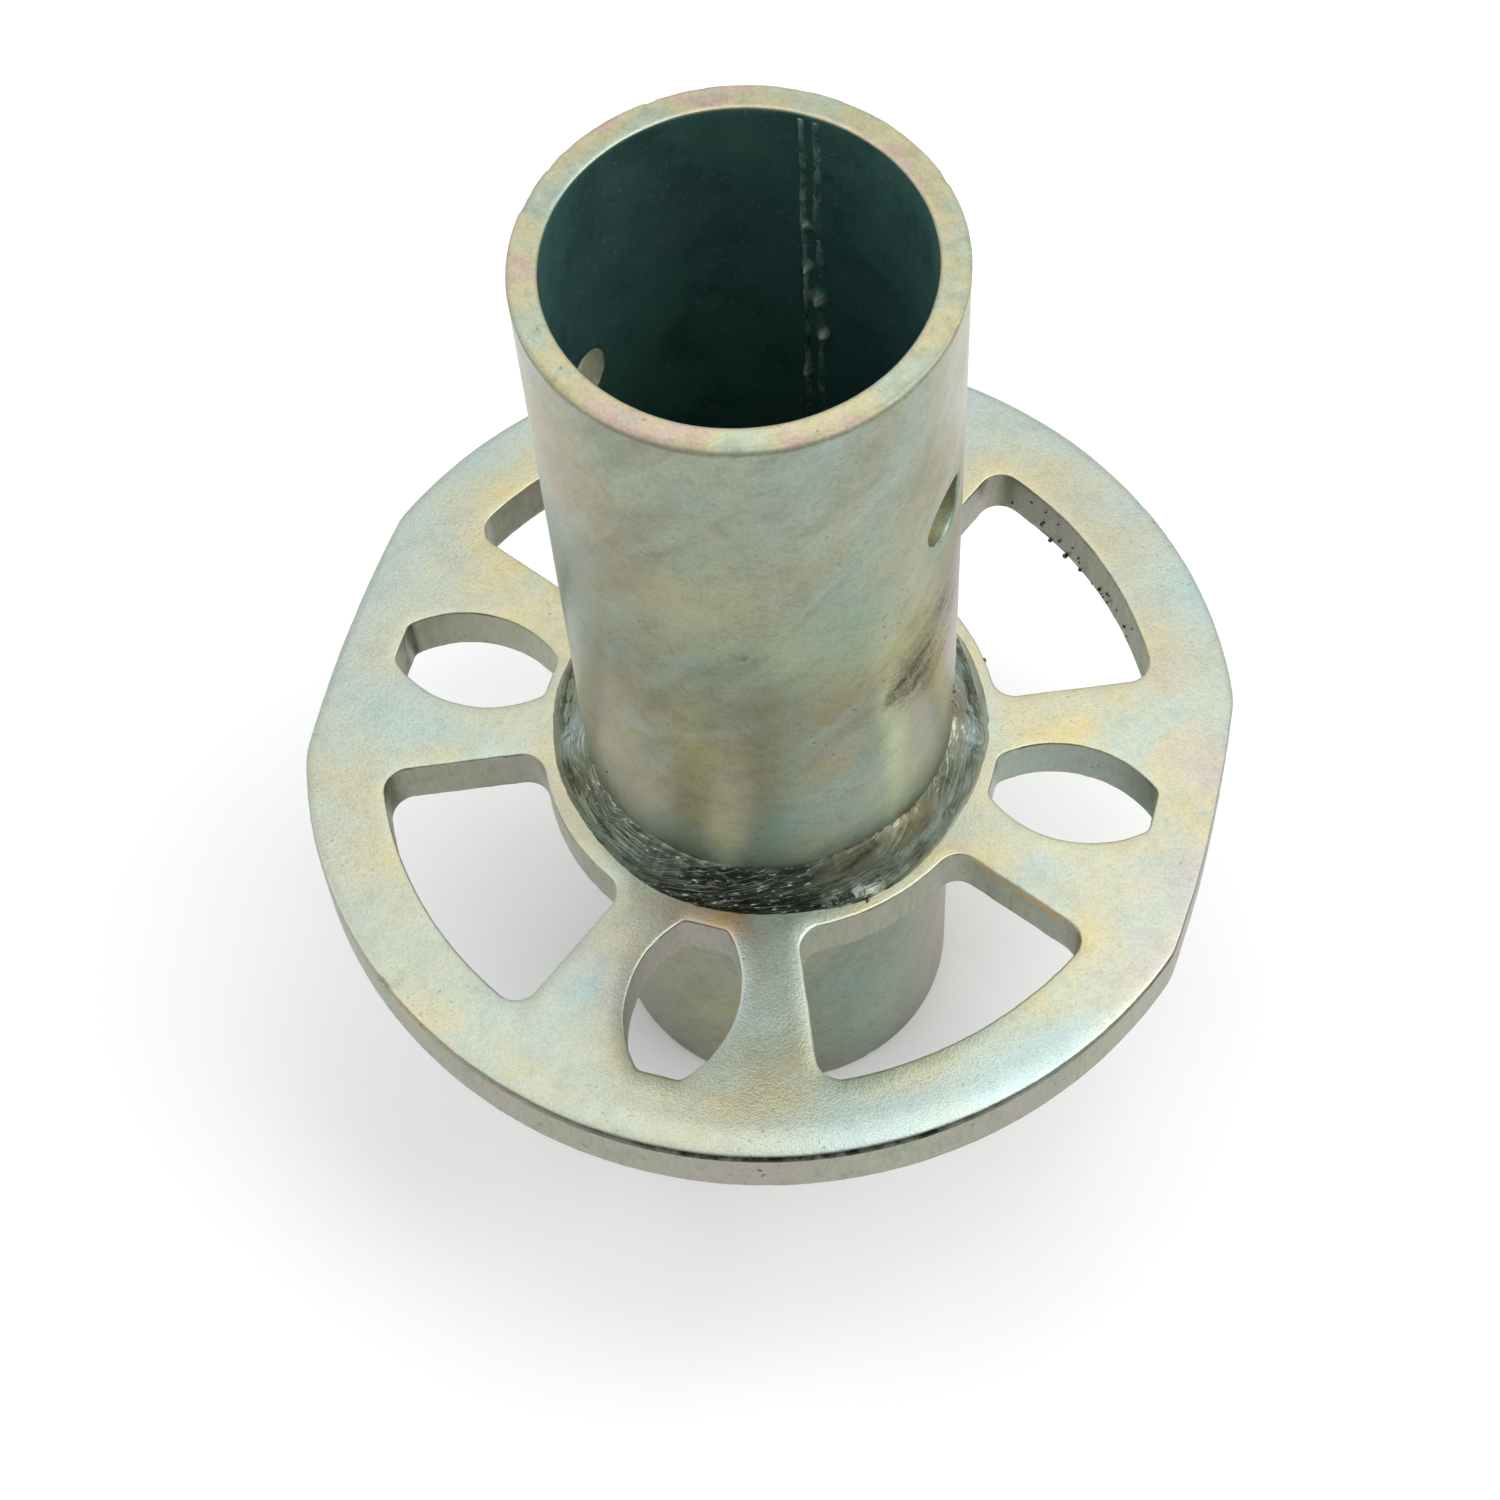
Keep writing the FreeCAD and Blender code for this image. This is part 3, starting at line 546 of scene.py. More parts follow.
def within(poly, pts):
    x0, y0 = poly[:, 0], poly[:, 1]
    x1, y1 = np.roll(x0, -1), np.roll(y0, -1)
    done = []
    for k in range(0, len(pts), 2000):
        x, y = pts[k:k + 2000, 0:1], pts[k:k + 2000, 1:2]
        cross = ((y0 > y) != (y1 > y)) & (x < (x1 - x0) * (y - y0) / (y1 - y0 + 1e-30) + x0)
        done.append(cross.sum(1) % 2 == 1)
    return np.concatenate(done)


def blobs(x, y, items):
    """Soft round patches: (x, y, radius, strength)."""
    total = np.zeros_like(np.asarray(x, float))
    for bx, by, br, bs in items:
        total = np.maximum(total, bs * np.exp(-((x - bx) ** 2 + (y - by) ** 2) / (br * br)))
    return np.clip(total, 0, 1)


def to_hole(x, y):
    """About how far a point of the plate is from the nearest slot or window."""
    near = np.full(np.shape(x), 99.0)
    pts = np.c_[np.ravel(x), np.ravel(y)]
    for k in range(4):
        q = spin(pts, -k)
        near = np.minimum(near, np.minimum(lens_field(q[:, 0], q[:, 1]), window_field(q[:, 0], q[:, 1])).reshape(np.shape(x)))
    return np.maximum(near, 0.0)


def plate_masks(x, y):
    near = to_hole(x, y)
    patchy = 0.55 + 0.75 * fbm(x / 8, y / 8, 2.0, 33, 3)
    rim = np.exp(-(disc_field(x, y) / 5.0) ** 2)
    side = np.arctan2(y, x)
    slot = np.maximum(lens_field(-y, x), 0.0)
    far = np.exp(-np.abs(turn(side, 42) / 22.0) ** 6) * smooth(49.0, 51.0, np.hypot(x, y))
    stain_and_painted_shade = np.maximum(0.8 * np.clip(0.9 + patchy, 0, 1) * np.exp(-((y + 29.5) / 2.2) ** 2 - ((x - 1.5) / 5.5) ** 2), 0.22 * far * np.exp(-(near / 2.2) ** 2))
    violet = 0.9 * np.exp(-(slot / 0.55) ** 2) * np.exp(-((y + 31.0) / 3.2) ** 2 - (x / 7.0) ** 2)
    wob = 3.0 * noise(x / 9, y / 9, 0.0, 31), 3.0 * noise(x / 9, y / 9, 5.0, 31)
    x, y = x + wob[0], y + wob[1]
    cream = blobs(x, y, [(38, 10, 9, 0.8), (30, -8, 6, 0.6), (27, 20, 6, 0.7), (-30, 2, 6, 0.7), (-38, 14, 10, 0.9), (-44, 24, 9, 0.8), (-46, -22, 8, 0.5),
                         (-24, -17, 5, 0.6), (4, -55, 8, 0.5), (-20, -55, 8, 0.5), (33, 45, 7, 0.2), (18, -51, 7, 0.45), (47, -12, 7, 0.5),
                         (-50, 8, 7, 0.4), (20, 50, 8, 0.4), (44, 22, 8, 0.8), (40, -2, 7, 0.6), (-40, -36, 7, 0.6), (-32, -20, 7, 0.5), (55, 2, 9, 0.95), (-53, -20, 8, 0.5), (55, 10, 6, 0.7), (-9, -29, 3, 0.7)])
    webs = np.exp(-np.abs(turn(side, -88) / 30.0) ** 4)
    cream = np.maximum(cream, np.clip(patchy + 0.1, 0, 1) * (0.95 - 0.5 * webs - 0.35 * far) * np.exp(-(near / (2.8 - 1.0 * webs)) ** 2))
    cream = np.maximum(cream, 0.5 * rim * np.exp(-(turn(side, -118) / 30.0) ** 2))
    blue = blobs(x, y, [(46, 32, 8, 0.7), (36, 42, 8, 0.7), (22, 54, 8, 0.5), (-54, -8, 9, 0.6), (-40, -42, 10, 0.5), (43, -36, 11, 0.75), (-30, 46, 12, 0.5),
                        (36, -15, 6, 0.5), (-36, -12, 7, 0.6), (10, 56, 9, 0.4), (28, -53, 8, 0.35), (-56, 8, 6, 0.5), (-21, -39, 8, 0.9), (11, -37, 7, 0.8), (8, -31, 4, 0.6), (-16, -31, 5, 0.6), (-13, -42, 7, 0.9), (37, 43, 7, 0.8)])
    lilac = blobs(x, y, [(57, 8, 5, 0.6), (56, -10, 6, 0.6), (54, -20, 5, 0.5), (0, -30, 3.5, 0.6), (6, -32, 3, 0.5), (-8, -31, 3, 0.4), (50, 24, 4, 0.5),
                         (-46, 6, 4, 0.3), (-57, 0, 4, 0.3)])
    # painted highlight: near-white patches on the web in front of the weld at the front right
    pale = blobs(x, y, [(10.2, -32, 7, 1.0), (12.6, -36, 6, 0.9), (8, -28, 5, 1.0)])
    return dict(cream=cream, blue=blue * (1 - 0.6 * cream), lilac=np.maximum(lilac, violet), pale=pale, stain_and_painted_shade=stain_and_painted_shade)


def rosette():
    s = Shell()
    outer = trace(disc_field, 0, 0, 9.0, 960, 80)
    lens = trace(lens_field, 40.8, 0, 1.3, 176, 30)
    window = trace(window_field, 40.9 * math.cos(math.pi / 4), 40.9 * math.sin(math.pi / 4), 3.0, 280, 40)
    a = np.linspace(0, 2 * np.pi, 241)[:-1]
    eye = 24.2 * np.c_[np.cos(a), np.sin(a)]
    loops = [("outer", outer)] + [("lens", spin(lens, k)) for k in range(4)] + [("window", spin(window, k)) for k in range(4)] + [("eye", eye)]
    top_rings, bottom_rings = [], []
    gold_lines = [((45.4, 4.6), (47.9, 2.7)), ((32.5, -13.2), (43.1, -17.7))]
    for which, (kind, loop) in enumerate(loops):
        is_outer = kind == "outer"
        into = -outward(loop) if is_outer else outward(loop)
        x, y = loop[:, 0], loop[:, 1]
        sheet = plate_masks(x, y)
        if kind == "eye":
            za, zb = np.full(len(loop), DISC_Z1 - 0.02), np.full(len(loop), DISC_Z0 + 0.02)
            ra = s.add(np.c_[loop, za]); rb = s.add(np.c_[loop, zb])
            s.strip(ra, rb, out=False)
            top_rings.append((ra, loop)); bottom_rings.append((rb, loop))
            continue
        low = fbm(x / 11, y / 11, which, 3, 3)
        fine = fbm(x / 1.6, y / 1.6, which, 5, 3)
        angle = np.arctan2(y, x)
        keep = 0.10 + 0.05 * (1 + fine) + 0.06 * low
        nick, dark, gold = np.zeros(len(loop)), np.zeros(len(loop)), np.zeros(len(loop))
        for (gx, gy), (hx, hy) in gold_lines:
            t = np.clip(((x - gx) * (hx - gx) + (y - gy) * (hy - gy)) / ((hx - gx) ** 2 + (hy - gy) ** 2), 0, 1)
            gold = np.maximum(gold, np.exp(-((x - gx - t * (hx - gx)) ** 2 + (y - gy - t * (hy - gy)) ** 2) / 0.9))
        rings = []

        def lay(d, z, **masks):
            pts = loop + into * np.broadcast_to(d, x.shape)[:, None]
            rings.append(s.add(np.c_[pts, np.broadcast_to(z, x.shape)], **masks))
            return pts

        def top(d):
            pts = loop + into * d[:, None]
            return DISC_Z1 - 0.03 + 0.02 * fbm(pts[:, 0] / 14, pts[:, 1] / 14, 0, 9, 3)

        if is_outer:
            # a roll that ends in a crisp corner, wide at the front and small elsewhere, over a wall that leans out towards the bottom
            keep = 0.05 + 0.035 * (1 + fine) + 0.03 * (1 + low)
            front = np.exp(-np.abs(turn(angle, -80) / 50.0) ** 4)
            lean = 0.15 + 0.40 * front
            wide, deep = 0.9 + 2.9 * front + 0.18 * low, 0.05 + 0.28 * front + 0.02 * low
            rnd, s0 = 0.34 + 0.50 * front + 0.06 * low, math.radians(10.0)
            for bx, by, bw, bd in [(-37, -48, 1.1, 0.6), (52.5, -31, 0.5, 0.16),
                                   (-58, -16, 0.5, 0.15), (40, 46, 0.6, 0.2), (-30, 53, 0.7, 0.2)]:
                nick += bd * np.exp(-((x - bx) ** 2 + (y - by) ** 2) / (bw * bw))
            # painted dark reflection: the roll's crisp corner and the top of the wall are darkened most where they face
            # the camera, near -72 degrees, and again near -20
            dark = np.clip(1.1 * np.exp(-(turn(angle, -72) / 30.0) ** 2) + 0.5 * np.exp(-(turn(angle, -20) / 12.0) ** 2) + 0.15, 0, 1)
            gold = np.maximum(gold, 0.45 * np.exp(-(turn(angle, -122) / 20.0) ** 2))
            start = keep + lean + rnd * (1 - math.sin(s0))
            far = start + wide + 0.2
            first = lay(far, top(far), **sheet)
            for k in range(8):
                f = k / 7
                lay(start + wide * (1 - f) + nick * f * 0.8, top(far) - deep * f ** 2 - nick * 0.5 * f,
                    edge=0.5 * f ** 2, gold=gold * smooth(0.8, 1.0, f) * 0.5, **sheet)
            for t in np.radians((22.0, 35.0, 48.0, 60.0, 72.0, 84.0)):
                lay(keep + lean + rnd * (1 - math.sin(t)) + nick * 0.8, top(far) - deep - rnd * (math.cos(s0) - math.cos(t)) - nick * 0.5,
                    edge=0.6, wall=smooth(0.9, 1.4, t), dark=dark * smooth(0.35, 0.75, t), gold=0.4 * gold)
            z_roll = top(far) - deep - rnd * (math.cos(s0) - math.cos(math.radians(84.0))) - nick * 0.3
            lay(keep + lean - 0.02, z_roll - 0.12, edge=0.3, wall=1.0, dark=dark * 0.9)
            z_wall = z_roll - 0.30
        else:
            # punched holes: the sheet draws down gently towards them, then a small broken edge
            lean = 0.0
            soft = np.exp(-np.abs(turn(angle, -85) / 40.0) ** 4)
            wide, deep, rnd, s0 = 1.4 + 1.0 * soft + 0.2 * low, 0.045 + 0.10 * soft + 0.01 * low, 0.24 + 0.05 * low, math.radians(10.0)
            start = keep + rnd * (1 - math.sin(s0))
            far = start + wide + 0.15
            first = lay(far, top(far), **sheet)
            for u in (1.0, 0.78, 0.58, 0.40, 0.25, 0.12, 0.0):
                lay(start + wide * u, top(far) - deep * (1 - u) ** 2.2, edge=0.35 * (1 - u) ** 2, **sheet)
            burnt = 0.65 * smooth(0.02, 0.30, fbm(x / 3.5, y / 3.5, which, 53, 3))
            for t in np.radians((34.0, 51.0, 68.0, 84.0)):
                lay(keep + rnd * (1 - math.sin(t)), top(far) - deep - rnd * (math.cos(s0) - math.cos(t)), edge=0.85, wall=0.2 + 0.4 * (t > 1.1),
                    dark=burnt * smooth(0.7, 1.2, t), **sheet)
            z_wall = top(far) - deep - rnd * (math.cos(s0) - math.cos(math.radians(84.0))) - 0.12
        rosy = 0.4 if kind == "lens" and y.mean() < -35 else 0.0
        cool = 0.35 if kind == "lens" and x.mean() > 35 else 0.0
        warm = 0.35 if kind == "lens" and x.mean() < -35 else 0.0
        sooty = (warm > 0) * 0.7 * np.exp(-((x + 51.0) ** 2 + (y - 1.5) ** 2) / 7.0) * smooth(-0.2, 0.3, fine)
        levels = 10
        for k in range(levels):
            f = k / (levels - 1)
            z = z_wall - (z_wall - DISC_Z0 - 0.35) * f
            sweep = fbm(x / 0.9, y / 0.9, z / 9.0 + which, 41, 2)
            torn = fbm(x / 1.3, y / 1.3, z / 1.1 + which, 43, 3)
            tear = smooth(0.35, 0.6, f + 0.12 * low)
            d = np.maximum(0.0, keep - 0.04 + 0.02 * (1 + sweep) * (1 - tear) + 0.045 * (1 + torn) * tear)
            d = d + lean * (1 - f) + nick * (1 - f) * 0.4
            lay(d, z, edge=max(0.0, 0.5 - 3 * f), wall=1.0 - warm - cool, cream=1.6 * warm, blue=2.4 * cool, dark=sooty, gold=gold * math.exp(-((f - 0.04) / 0.10) ** 2), lilac=0.35 * sheet["lilac"] + rosy)
        for k, (dd, zz) in enumerate(((0.06, 0.16), (0.24, 0.04), (0.45, 0.0))):
            rag = 0.10 * (1 + fbm(x / 0.8, y / 0.8, which, 47, 2))
            lay(keep + dd + rag * (1 - k / 2), DISC_Z0 + zz, wall=1.0 - 0.4 * k, edge=0.3)
        last = lay(keep + 1.2, DISC_Z0, **sheet)
        for u, v in zip(rings[:-1], rings[1:]):
            s.strip(u, v, out=is_outer)
        top_rings.append((rings[0], first))
        bottom_rings.append((rings[-1], last))

    for rings, z_base, up, seed in ((top_rings, DISC_Z1, True, 61), (bottom_rings, DISC_Z0, False, 67)):
        rng = np.random.default_rng(seed)
        step = 1.25
        gx, gy = np.meshgrid(np.arange(-61, 61.01, step), np.arange(-61, 61.01, step))
        gx = gx + np.where(np.arange(gx.shape[0])[:, None] % 2, step / 2, 0)
        pts = np.c_[gx.ravel(), gy.ravel()] + rng.uniform(-0.25, 0.25, (gx.size, 2))
        ok = disc_field(pts[:, 0], pts[:, 1]) < -6.4
        ok &= np.hypot(pts[:, 0], pts[:, 1]) > 25.0
        for k in range(4):
            q = spin(pts, -k)
            ok &= lens_field(q[:, 0], q[:, 1]) > 4.3
            ok &= window_field(q[:, 0], q[:, 1]) > 4.3
        pts = pts[ok]
        und = 0.02 * fbm(pts[:, 0] / 14, pts[:, 1] / 14, 0, 9, 3) - 0.03
        z = z_base + und if up else np.full(len(pts), z_base)
        inner_ids = s.add(np.c_[pts, z], **plate_masks(pts[:, 0], pts[:, 1]))
        coords = np.concatenate([p for _, p in rings] + [pts])
        ids = np.concatenate([i for i, _ in rings] + [inner_ids])
        edges, start = [], 0
        for i, p in rings:
            n = len(p)
            edges += [(start + k, start + (k + 1) % n) for k in range(n)]
            start += n
        got = delaunay_2d_cdt([Vector(c) for c in coords.tolist()], edges, [], 0, 1e-7)
        back = np.array([o[0] if o else -1 for o in got[3]])
        tri = back[np.array([t for t in got[2]])]
        tri = tri[(tri >= 0).all(1)]
        mid = coords[tri].mean(1)
        good = within(rings[0][1], mid)
        for _, p in rings[1:]:
            good &= ~within(p, mid)
        tri = tri[good]
        c = coords[tri]
        area = (c[:, 1, 0] - c[:, 0, 0]) * (c[:, 2, 1] - c[:, 0, 1]) - (c[:, 1, 1] - c[:, 0, 1]) * (c[:, 2, 0] - c[:, 0, 0])
        wrong = (area < 0) if up else (area > 0)
        tri[wrong] = tri[wrong][:, ::-1]
        s.tris(ids[tri])
    return s.make("rosette_skin", PLATE, "rosette", 38)


# ---------------------------------------------------------------- tube

def tube():
    s = Shell()
    n_col, half = 384, 18
    theta = HOLE_A + 2 * np.pi * np.arange(n_col) / n_col
    pitch = 2 * np.pi / n_col * TUBE_R
    below = np.r_[np.linspace(0.7, 90.0, 22)[:-1], np.linspace(90.0, 112.0, 24)[:-1], np.linspace(112.0, HOLE_Z - half * pitch, 5)[:-1]]
    rows = np.r_[below, HOLE_Z + pitch * np.arange(-half, half + 1), np.linspace(HOLE_Z + half * pitch, 156.9, 11)[1:]]
    first = len(below)
    T, Z = np.meshgrid(theta, rows)
    cut = np.zeros(T.shape, bool)
    for centre in (0, n_col // 2):
        cols = (centre + np.arange(-half + 1, half)) % n_col
        cut[np.ix_(np.arange(first + 1, first + 2 * half), cols)] = True
    ca, sa = np.cos(T), np.sin(T)

    def outer_masks(t, z):
        wob = 5.0 * noise(np.cos(t) * 3, np.sin(t) * 3, z / 12, 71)
        d = lambda centre: turn(t, centre) + wob
        zz = z + 2.5 * noise(np.cos(t) * 4, np.sin(t) * 4, z / 8, 73)
        g = lambda a, zc, wa, wz, k: k * np.exp(-(d(a) / wa) ** 2 - ((zz - zc) / wz) ** 2)
        cream = np.maximum.reduce([g(-96, 92, 6, 16, 0.55), g(-92, 76, 5, 10, 0.60), g(-119, 94, 8, 10, 0.45), g(-62, 118, 14, 9, 0.4),
                                   g(-85, 127, 16, 7, 0.45), g(172, 85, 8, 12, 0.55), g(-150, 86, 6, 14, 0.6), g(-30, 110, 9, 9, 0.5),
                                   g(40, 90, 20, 20, 0.3), g(110, 60, 20, 24, 0.3), g(-100, 24, 20, 12, 0.5)])
        blue = np.maximum.reduce([g(-36, 86, 10, 12, 0.45), g(-48, 120, 12, 11, 0.45), g(-71, 75, 12, 9, 0.85), g(-68, 86, 6, 12, 0.5), g(-60, 80, 14, 12, 0.35), g(-110, 70, 40, 4, 0.5),
                                  g(-40, 70, 30, 4, 0.55), g(-80, 112, 20, 14, 0.25), g(30, 66, 30, 6, 0.5), g(140, 68, 40, 6, 0.5),
                                  g(-44, 24, 20, 20, 1.0)])
        lilac = np.maximum.reduce([g(-128, 110, 10, 28, 0.45), g(-112, 74, 14, 6, 0.35), g(-24, 82, 10, 9, 0.5), g(-15, 60, 8, 40, 0.3),
                                   g(-120, 34, 14, 14, 0.45), g(-100, 47, 25, 6, 0.5), g(-8, 30, 12, 26, 0.9), g(-3, 100, 9, 28, 0.7)])
        # one soot smear, wiped up and to the right, with a fainter cloud above its end
        u, v = (turn(t, -27.0) + 0.2 * wob) * 0.4215, z - 102.2
        along, across = 0.62 * u + 0.79 * v, 0.62 * v - 0.79 * u
        smear = 1.05 * np.exp(-((along + 0.4) / 6.2) ** 4 - ((across + 1.5) / 7.0) ** 2)
        trail = 0.80 * np.exp(-((along - 6.5) / 6.0) ** 4 - ((across + 2.5) / 7.5) ** 2)
        # painted highlight: a pale streak on the right front of the tube and a lighter patch low on it, below the disc
        pale = np.maximum.reduce([g(-35, 84, 6, 14, 0.95), g(-38, 98, 5, 5, 0.7), g(-34, 18, 18, 14, 0.55)])
        # painted shade: the tube is darkened where it faces the camera, below the disc and faintly at the upper left
        shade = np.maximum.reduce([g(-72, 108, 9, 10, 0.20), 0.18 * smooth(56, 50, z), g(-100, 134, 42, 18, 0.08)])
        return dict(cream=cream, blue=blue, lilac=lilac, dark=np.clip(np.maximum(smear, trail), 0, 1), pale=pale, stain_and_painted_shade=shade)

    sway = 0.03 * around(T, 2.2, Z / 26, 81, 3)
    r_out = TUBE_R - 0.03 + sway
    flat = ~cut
    ids_out = np.full(T.shape, -1)
    ids_out[flat] = s.add(np.c_[(r_out * ca)[flat], (r_out * sa)[flat], Z[flat]], **outer_masks(T[flat], Z[flat]))
    r_in = BORE_R + 0.03 + 0.03 * around(T, 3.0, Z / 18, 83, 3)
    ids_in = np.full(T.shape, -1)
    ids_in[flat] = s.add(np.c_[(r_in * ca)[flat], (r_in * sa)[flat], Z[flat]], inner=1.0)
    nxt_out, nxt_in = np.roll(ids_out, -1, 1), np.roll(ids_in, -1, 1)
    # a quad is left out where it lies inside one of the two squares round the lock holes
    square = np.zeros((len(rows) - 1, n_col), bool)
    for centre in (0, n_col // 2):
        cols = (centre + np.arange(-half, half)) % n_col
        square[np.ix_(np.arange(first, first + 2 * half), cols)] = True
    s.grid(ids_out, ~square)
    s.grid(ids_in, ~square, flip=True)

    # lock holes: square to round patch, rolled mouth, drilled wall, bore side
    for centre in (0, n_col // 2):
        base = theta[centre]
        c = lambda k: (centre + k) % n_col
        path = ([(first, c(k)) for k in range(-half, half)] + [(first + k, c(half)) for k in range(0, 2 * half)]
                + [(first + 2 * half, c(k)) for k in range(half, -half, -1)] + [(first + k, c(-half)) for k in range(2 * half, 0, -1)])
        pr, pc = np.array(path).T
        loop_out, loop_in = ids_out[pr, pc], ids_in[pr, pc]
        up = rows[pr] - HOLE_Z
        side_out, side_in = TUBE_R * np.sin(theta[pc] - base), BORE_R * np.sin(theta[pc] - base)
        psi = np.arctan2(up, side_out)
        rag = 0.10 * fbm(np.cos(psi) * 3, np.sin(psi) * 3, centre, 91, 3)

        def lay(side, z, depth, radius, **masks):
            x = np.sqrt(radius ** 2 - side ** 2) - depth
            return s.add(np.c_[x * np.cos(base) - side * np.sin(base), x * np.sin(base) + side * np.cos(base), HOLE_Z + z], **masks)

        rings = [loop_out]
        mouth = HOLE_R + 0.55
        for f in (0.3, 0.55, 0.75, 0.9, 1.0):
            sd = side_out + (mouth * np.cos(psi) - side_out) * f
            zz = up + (mouth * np.sin(psi) - up) * f
            rings.append(lay(sd, zz, 0.03, TUBE_R, blue=0.25 * f, cream=0.2 * f, edge=0.0))
        for k in range(1, 6):
            t = math.radians(90 * k / 5)
            rr = HOLE_R + 0.55 * (1 - math.sin(t)) + rag * 0.5 * k / 5
            rings.append(lay(rr * np.cos(psi), rr * np.sin(psi), 0.03 + 0.5 * (1 - math.cos(t)), TUBE_R, blue=0.5, gold=0.15 * k / 5))
        x_mouth = np.sqrt(TUBE_R ** 2 - (HOLE_R * np.cos(psi)) ** 2) - 0.53
        x_bore = np.sqrt(BORE_R ** 2 - (HOLE_R * np.cos(psi)) ** 2) + 0.12
        for k in range(1, 9):
            f = k / 8
            rr = HOLE_R + rag * (0.5 + 0.5 * f) + 0.05 * fbm(np.cos(psi) * 9, np.sin(psi) * 9, f * 4, 93, 2)
            x = x_mouth + (x_bore - x_mouth) * f
            sd, zz = rr * np.cos(psi), rr * np.sin(psi)
            rings.append(s.add(np.c_[x * np.cos(base) - sd * np.sin(base), x * np.sin(base) + sd * np.cos(base), HOLE_Z + zz],
                               gold=0.65 if centre == 0 else 0.30, blue=0.30, lilac=0.0 if centre == 0 else 0.3, inner=0.0, drill=1.0))
        for f in (0.0, 0.15, 0.45, 0.75):
            rr = HOLE_R + 0.2 + rag
            sd = rr * np.cos(psi) + (side_in - rr * np.cos(psi)) * f
            zz = rr * np.sin(psi) + (up - rr * np.sin(psi)) * f
            rings.append(lay(sd, zz, -0.03, BORE_R, inner=0.5 if f == 0 else 1.0, gold=0.3 if f == 0 else 0.0))
        rings.append(loop_in)
        for u, v in zip(rings[:-1], rings[1:]):
            s.strip(u, v, out=False)

    # cut ends
    for top in (True, False):
        rag = around(theta, 7.0, 0.0, 101 if top else 103, 4)
        chip = np.maximum(0, around(theta, 16.0, 3.0, 105 if top else 107, 3) - 0.22) * 1.6
        z_of = (lambda dz: TUBE_H - dz) if top else (lambda dz: dz)
        edge_row, in_row = (-1, -1) if top else (0, 0)
        near = np.exp(-np.abs(turn(theta, -78) / 62.0) ** 4) if top else 0.4
        rnd = np.clip(0.26 + 0.12 * rag + chip * 0.4 + 0.50 * near * (1 + 0.3 * rag), 0.14, 1.0)
        rings = [ids_out[edge_row]]
        lay = lambda r, dz, **m: rings.append(s.add(np.c_[r * np.cos(theta), r * np.sin(theta), z_of(np.broadcast_to(dz, theta.shape))], **m))
        masks = outer_masks(theta, np.full(n_col, TUBE_H - 1.0 if top else 1.0))
        for k in range(0, 6):
            t = np.radians(90 * k / 5)
            f = k / 5
            lay(TUBE_R - 0.02 - rnd * (1 - np.cos(t)) - chip * 0.25 * f, 0.02 + rnd * (1 - np.sin(t)) + 0.04 * (1 + rag) * f,
                wall=smooth(0.2, 0.6, f), edge=math.exp(-((f - 0.15) / 0.22) ** 2), cream=masks["cream"] * (1 - f), drill=0.9 * smooth(0.0, 0.3, f))
        start = TUBE_R - 0.02 - rnd - chip * 0.25
        for f in (0.12, 0.3, 0.5, 0.7, 0.88):
            r = start + (BORE_R + 0.38 - start) * f
            lay(r, 0.02 + 0.04 * (1 + rag) * (1 - f) + 0.02 * (1 + fbm(np.cos(theta) * r / 1.5, np.sin(theta) * r / 1.5, 0, 109, 3)), wall=1.0)
        for k in range(0, 5):
            t = np.radians(90 * k / 4)
            f = k / 4
            lay(BORE_R + 0.38 - 0.34 * np.sin(t) + 0.03 * rag, 0.04 + 0.34 * (1 - np.cos(t)), wall=1.0 - 0.6 * f, inner=smooth(0.55, 0.95, f),
                edge=0.35 * f)
        rings.append(ids_in[in_row])
        for u, v in zip(rings[:-1], rings[1:]):
            s.strip(u, v, out=not top)
    return s.make("collar_tube_skin", TUBE, "collar_tube", 50)


